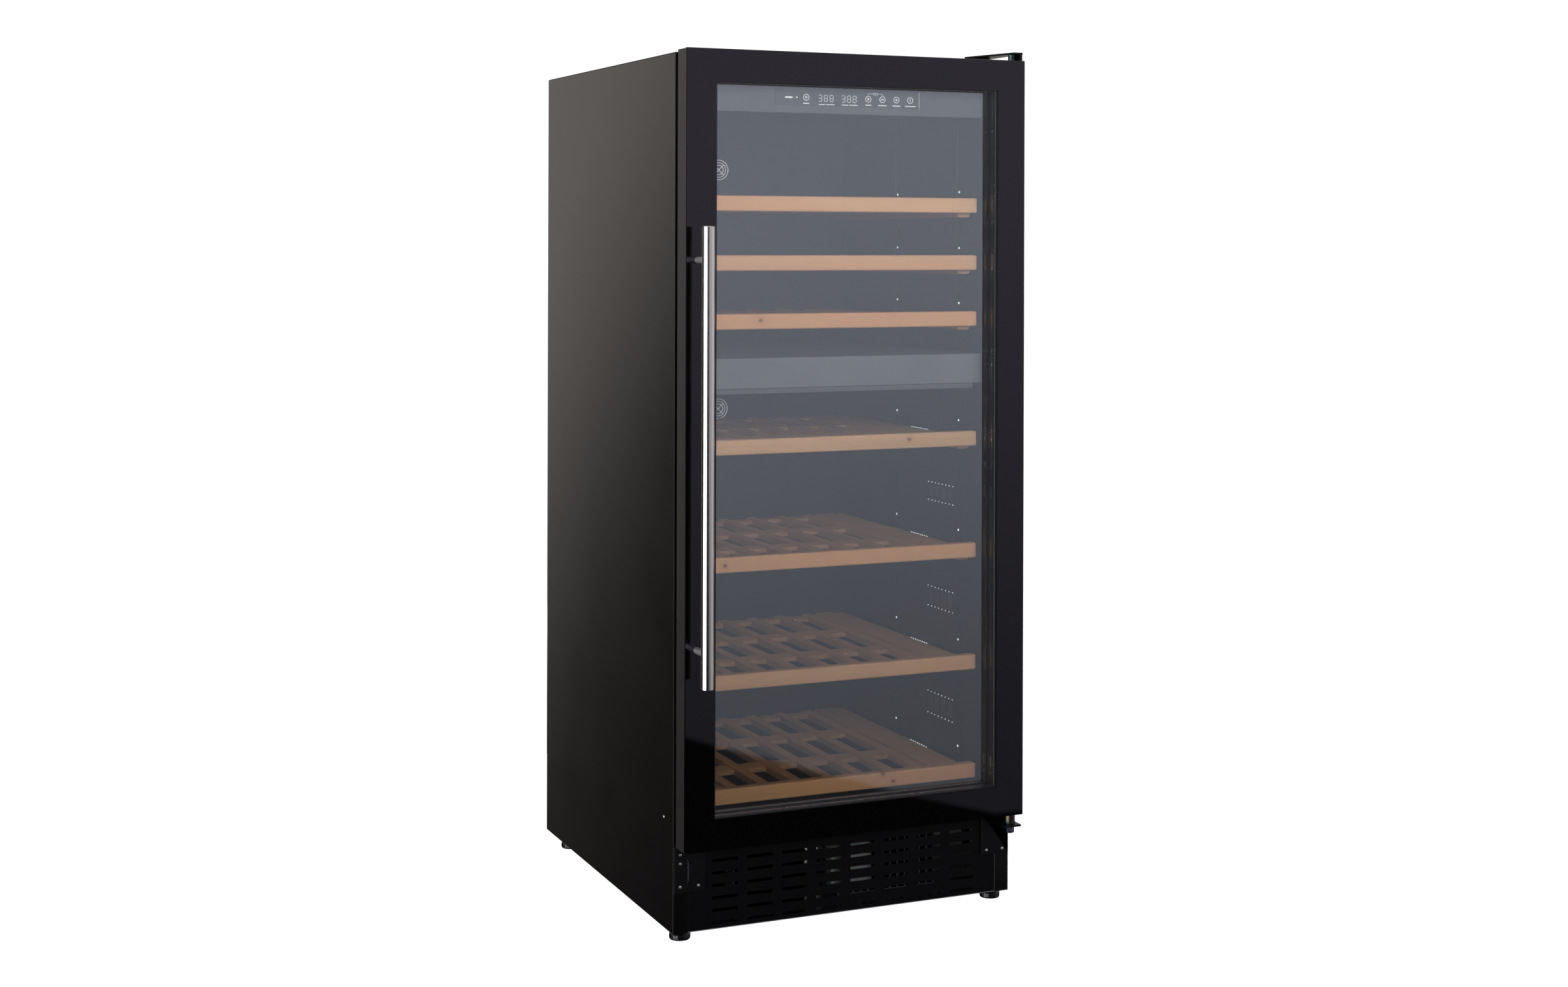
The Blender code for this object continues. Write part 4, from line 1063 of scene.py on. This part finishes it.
# %% Covers, cartridges and fans
# A near-black disc in the cartridge: painted shade for its hollow.
SHADED_HOLLOW_DISC = [(0, -0.006), (0.0158, -0.006), (0.0158, 0.0), (0, 0.0)]
RINGS = ((0.0187, 0.0176), (0.0140, 0.0130), (0.0094, 0.0084))
for zone in ("upper", "lower"):
    cover, cartridge = f"air_cover_{zone}", f"charcoal_filter_{zone}"
    softened(cover, f"back_cover_{zone}", "inside_plastic", 0.0004, segments=1)
    low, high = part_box(cartridge)
    centre = Vector((0, at(0.609), (low.z + high.z) / 2))
    work = bmesh.new()
    turned(work, SHADED_HOLLOW_DISC, centre, (0, -1, 0), 40, 1)
    for outer, inner in RINGS:
        ring = [(inner, 0.0002), (inner, 0.0026), (inner + 0.0002, 0.0030)]
        ring += [(outer - 0.0002, 0.0030), (outer, 0.0026), (outer, 0.0002), (inner, 0.0002)]
        turned(work, ring, centre, (0, -1, 0), 48)
    arm_low, arm_high = centre - Vector((0.0125, 0.0024, 0.0005)), centre + Vector((0.0125, -0.0002, 0.0005))
    for turn in (45, 135):
        block(work, arm_low, arm_high, 0.0002, turn=Matrix.Rotation(math.radians(turn), 4, "Y"))
    paints = ["ring_plastic_painted_glow", "painted_void_shade"]
    piece(work, f"filter_cartridge_{zone}", paints, "cabinet", (cartridge,))


def fan_wheel(node, name, body, place, size):
    """A hub and five pitched blades."""
    work = bmesh.new()
    hub, tip = size * 0.19, size / 2 - 0.0085
    half = 0.0058
    profile = [(0, half), (hub * 0.8, half), (hub, 0.0044), (hub, -half), (hub * 0.6, -half), (0, -half)]
    turned(work, profile, place, (0, -1, 0))
    for blade in range(5):
        turn = Matrix.Translation(place) @ Matrix.Rotation(2 * math.pi * blade / 5, 4, "Y")
        turn = turn @ Matrix.Translation(((hub + tip) / 2, 0, 0)) @ Matrix.Rotation(math.radians(26), 4, "X")
        fit = turn @ Matrix.Rotation(math.radians(90), 4, "X")
        fit = fit @ Matrix.Diagonal((tip - hub + 0.003, size * 0.20, 1, 1))
        verts = bmesh.ops.create_grid(work, x_segments=4, y_segments=3, size=0.5, matrix=fit)["verts"]
        bmesh.ops.solidify(work, geom=faces_of(verts), thickness=0.0011)
    return piece(work, name, ["dark_plastic"], body, (node,))


FAN_Y = at(0.6205)
for zone, height_of in (("upper", 1.100), ("lower", 0.640)):
    fan_wheel(f"fan_rotor_{zone}", f"fan_wheel_{zone}", f"fan_{zone}", (0, FAN_Y, height_of), 0.090)
    node = f"fan_housing_{zone}"
    softened(node, f"fan_frame_{zone}", "dark_plastic", 0.0004, segments=1)
repaint("fin_metal", "evaporator_upper", "evaporator_lower")

# %% [markdown]
# ## Header and control strip
#
# The fascia over the upper zone carries a touch strip. Its marks are plain signs: ringed buttons with a triangle,
# dashes, a dot and a bar, two three-digit displays, and short bars under each. They are thin prints on the strip.

# %% Header
softened("header_fascia", "header_front", "fascia_plastic", 0.0012, segments=3)
softened("control_panel", "touch_strip", "panel_gloss", 0.0004)
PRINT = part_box("control_panel")[0].y
INK = 0.00025
marks = bmesh.new()


def bar_mark(x, z, width, tall, paint=0):
    middle, reach = Vector((x, PRINT, z)), Vector((width / 2, INK, tall / 2))
    block(marks, middle - reach, middle + reach, 0, paint)


def ring_mark(x, z, outer, inner):
    turned(marks, [(inner, 0), (inner, INK), (outer, INK), (outer, 0), (inner, 0)], (x, PRINT, z), (0, -1, 0))


def dot_mark(x, z, radius, steps, paint=0):
    turned(marks, [(0, INK), (radius, INK), (radius, 0), (0, 0)], (x, PRINT, z), (0, -1, 0), steps, paint)


def digit_mark(x, z, parts):
    """Seven bars, from the top one clockwise, with the middle one last."""
    half_width, half_tall, thick = 0.0028, 0.0051, 0.0011
    bars = ((0, 1, 1), (1, 0.5, 0), (1, -0.5, 0), (0, -1, 1), (-1, -0.5, 0), (-1, 0.5, 0), (0, 0, 1))
    for number in parts:
        across, up, lying = bars[number]
        size = (2 * half_width - thick, thick) if lying else (thick, half_tall - thick)
        bar_mark(x + across * half_width, z + up * half_tall, *size, paint=1)


ROW = 1.3219
LABELS = 1.3122
buttons = (-0.0741, 0.0358, 0.0613, 0.0865, 0.1115)
for x, width in zip(buttons, (0.0105, 0.0105, 0.0150, 0.0140, 0.0190)):
    ring_mark(x, ROW, 0.0053, 0.0043)
    bar_mark(x, LABELS, width, 0.0016)
for x in buttons[:2]:
    bmesh.ops.create_cone(
        marks, cap_ends=True, segments=3, radius1=0.0027, radius2=0.0027, depth=2 * INK,
        matrix=Matrix.Translation((x, PRINT, ROW)) @ POINT_DOWN,
    )
for across in (-0.0019, 0.0, 0.0019):
    bar_mark(buttons[2] + across, ROW, 0.0013, 0.0022)
dot_mark(buttons[3], ROW, 0.0017, 16)
bar_mark(buttons[4], ROW, 0.0010, 0.0052)
bar_mark(-0.1045, 1.3212, 0.0125, 0.0030)
for left, right in ((-0.0535, -0.0259), (-0.0132, 0.0159)):
    middle = (left + right) / 2
    for across, parts in ((-0.0100, (0, 1, 2, 3, 6)), (0, range(7)), (0.0100, range(7))):
        digit_mark(middle + across, 1.3210, parts)
    bar_mark(middle - 0.0070, 1.3112, 0.0110, 0.0013)
    bar_mark(middle + 0.0080, 1.3112, 0.0150, 0.0013)
for x in buttons[1:3]:
    bar_mark(x, 1.3290, 0.0006, 0.0034)
bridge, bridge_z = (buttons[1] + buttons[2]) / 2, 1.3305
for across in (-0.0075, 0.0075):
    bar_mark(bridge + across, bridge_z, 0.0100, 0.0006)
for across in (-0.0020, 0.0020):
    ring_mark(bridge + across, bridge_z, 0.0022, 0.0016)
bar_mark(0.1280, 1.3225, 0.0005, 0.0260)
dot_mark(-0.0905, 1.3215, 0.0010, 14, 2)
piece(marks, "strip_marks", ["white_print", "display_segments", "lamp_dot"], "cabinet")


# %% Light strips
for node in ("light_strip_upper", "light_strip_lower"):
    softened(node, node.replace("strip", "bar"), "light_cover", 0.0012, segments=3)

# %% [markdown]
# ## Machine compartment
#
# Behind the kick plate stand the fan and the finned condenser, and at the back the compressor on rubber feet,
# with the thaw-water tray over it, the pipes and the mains inlet. They show through the slots and from behind.

# %% Compressor and pipes
def pipe(name, points, radius, paint="copper"):
    """A bent tube along smoothed points."""
    curve = bpy.data.curves.new(name, "CURVE")
    curve.dimensions = "3D"
    curve.bevel_depth = radius
    curve.bevel_resolution = 3
    curve.use_fill_caps = True
    curve.resolution_u = 6
    line = curve.splines.new("NURBS")
    line.points.add(len(points) - 1)
    for spot, (x, depth, z) in zip(line.points, points):
        spot.co = (x, at(depth), z, 1)
    line.use_endpoint_u = True
    line.order_u = 3
    curve.materials.append(finishes[paint])
    made = bpy.data.objects.new(name, curve)
    bpy.context.scene.collection.objects.link(made)
    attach(made, "cabinet")
    print(name, "through", len(points), "points")


low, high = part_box("compressor")
centre = (low + high) / 2
work = bmesh.new()
can, wall, floor_z, dome = high.x - centre.x, high.x - centre.x - 0.0016, low.z, 0.024
profile = [(0, high.z)]
for step in range(1, 9):
    turn = math.radians(90 - 11.25 * step)
    profile.append((can * math.cos(turn), high.z - dome + dome * math.sin(turn)))
seam = (floor_z + high.z) / 2 + 0.008
profile += [(wall, seam + 0.003), (can, seam + 0.002), (can, seam - 0.002), (wall, seam - 0.003)]
profile += [(wall, floor_z + 0.024), (can - 0.010, floor_z + 0.012)]
profile += [(can - 0.03, floor_z + 0.008), (0, floor_z + 0.008)]
turned(work, profile, (centre.x, centre.y, 0), steps=48)
for side_of in (-1, 1):
    for fore in (-1, 1):
        spot = Vector((centre.x + side_of * 0.046, centre.y + fore * 0.046, floor_z))
        rod(work, spot, spot + Vector((0, 0, 0.010)), 0.010, 20, 0.0012, 1)
    strap_low = Vector((centre.x + side_of * 0.046 - 0.012, centre.y - 0.056, floor_z + 0.010))
    block(work, strap_low, strap_low + Vector((0.024, 0.112, 0.003)), 0.0008)
relay_low = Vector((high.x - 0.006, centre.y - 0.024, floor_z + 0.028))
block(work, relay_low, relay_low + Vector((0.032, 0.048, 0.048)), 0.004, 2, 3)
paints = ["pump_coat", "seal_rubber", "dark_plastic"]
piece(work, "compressor_can", paints, "cabinet", ("compressor",))
DISCHARGE = [(-0.09, 0.545, 0.10), (-0.05, 0.52, 0.118), (0.00, 0.45, 0.112)]
DISCHARGE += [(0.02, 0.32, 0.06), (0.03, 0.215, 0.045), (0.03, 0.195, 0.045)]
SUCTION = [(-0.155, 0.53, 0.10), (-0.20, 0.50, 0.113), (-0.245, 0.48, 0.10)]
SUCTION += [(-0.255, 0.55, 0.09), (-0.255, 0.62, 0.11), (-0.255, 0.64, 0.148)]
DRIER = [(0.215, 0.21, 0.05), (0.225, 0.26, 0.05), (0.230, 0.32, 0.06), (0.230, 0.38, 0.06)]
LIQUID = [(0.205, 0.195, 0.05), (0.215, 0.22, 0.05), (0.230, 0.32, 0.06)]
LIQUID += [(0.230, 0.50, 0.07), (0.235, 0.62, 0.10), (0.235, 0.66, 0.148)]
WIRE = [(0.20, 0.664, 0.033), (0.16, 0.62, 0.022), (0.05, 0.56, 0.021)]
WIRE += [(-0.02, 0.55, 0.03), (-0.048, 0.575, 0.05)]
pipe("discharge_pipe", DISCHARGE, 0.0028)
pipe("suction_pipe", SUCTION, 0.0036)
pipe("drier", DRIER, 0.0080)
pipe("liquid_pipe", LIQUID, 0.0020)
pipe("mains_wire", WIRE, 0.0028, "dark_plastic")

# %% Condenser, fan, tray, board and inlet
low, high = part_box("condenser")
work = copied("condenser")
tube, rise = 0.0035, 0.026
left_x, right_x = low.x - 0.006, high.x + 0.006
for row, depth in enumerate((0.135, 0.160, 0.185)):
    for level in range(4):
        z = 0.038 + level * rise
        rod(work, (left_x, at(depth), z), (right_x, at(depth), z), tube, 12, 0, 1)
        if level < 3:
            side_x = right_x if (level + row) % 2 else left_x
            rod(work, (side_x, at(depth), z - tube), (side_x, at(depth), z + rise + tube), tube, 12, 0.001, 1)
piece(work, "condenser_coil", ["fin_metal", "dark_zinc"], "cabinet", ("condenser",))
fan_wheel("condenser_fan_rotor", "condenser_fan_wheel", "condenser_fan", (0.110, at(0.239), 0.082), 0.110)
softened("condenser_fan_housing", "condenser_fan_frame", "dark_plastic", 0.0004, segments=1)
softened("drip_tray", "thaw_tray", "dark_plastic", 0.0005, segments=1)
softened("power_inlet", "mains_inlet", "dark_plastic", 0.0005, segments=1)
# A near-black sheet behind the left slots: painted shade, so the slots look dark.
work = bmesh.new()
block(work, (-0.268, at(0.112), 0.0175), (-0.045, at(0.115), 0.1440), 0.0008)
block(work, (-0.268, at(0.104), 0.0175), (-0.045, at(0.114), 0.0205), 0.0008)
piece(work, "slot_shade_sheet", ["painted_void_shade"], "cabinet")
work = bmesh.new()
block(work, (-0.012, at(0.080), 0.040), (0.062, at(0.104), 0.112), 0.004, 0, 3)
block(work, (0.0, at(0.0785), 0.060), (0.050, at(0.081), 0.092), 0.0012)
for x, low_z, high_z in ((-0.192, 0.060, 0.108), (0.232, 0.080, 0.118)):
    block(work, (x - 0.008, at(0.075), low_z), (x + 0.008, at(0.078), high_z), 0.0008, 1)
piece(work, "wiring_box", ["wire_box", "zinc"], "cabinet")
work = bmesh.new()
for x, z in ((0.194, 0.030), (0.206, 0.030), (0.200, 0.037)):
    block(work, (x - 0.001, at(0.688), z - 0.002), (x + 0.001, at(0.700), z + 0.002), 0.0004)
piece(work, "inlet_pins", ["screw_steel"], "cabinet")
board_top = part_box("control_board")[1].z
work = copied("control_board")
rounded(work, work.edges[:], 0.0004, 1)
COMPONENTS = (
    (-0.024, 0.130, 0.016, 0.018, 0.014, 1), (-0.002, 0.128, 0.012, 0.012, 0.016, 1),
    (-0.022, 0.165, 0.014, 0.020, 0.004, 1), (0.000, 0.160, 0.010, 0.010, 0.010, 2),
    (-0.024, 0.205, 0.014, 0.012, 0.009, 2), (-0.002, 0.205, 0.014, 0.018, 0.006, 1),
)
for x, depth, wide, deep, tall, paint in COMPONENTS:
    corner = Vector((x - wide / 2, at(depth) - deep / 2, board_top - 0.0002))
    block(work, corner, corner + Vector((wide, deep, tall + 0.0002)), 0.0008, paint)
paints = ["green_board", "dark_plastic", "vent_plastic"]
piece(work, "control_circuit", paints, "cabinet", ("control_board",))

# %% [markdown]
# ## The last line
#
# The dressed model must keep the engineering model's size. At the end the view layer is brought up to date.

# %% Finish
bpy.context.view_layer.update()
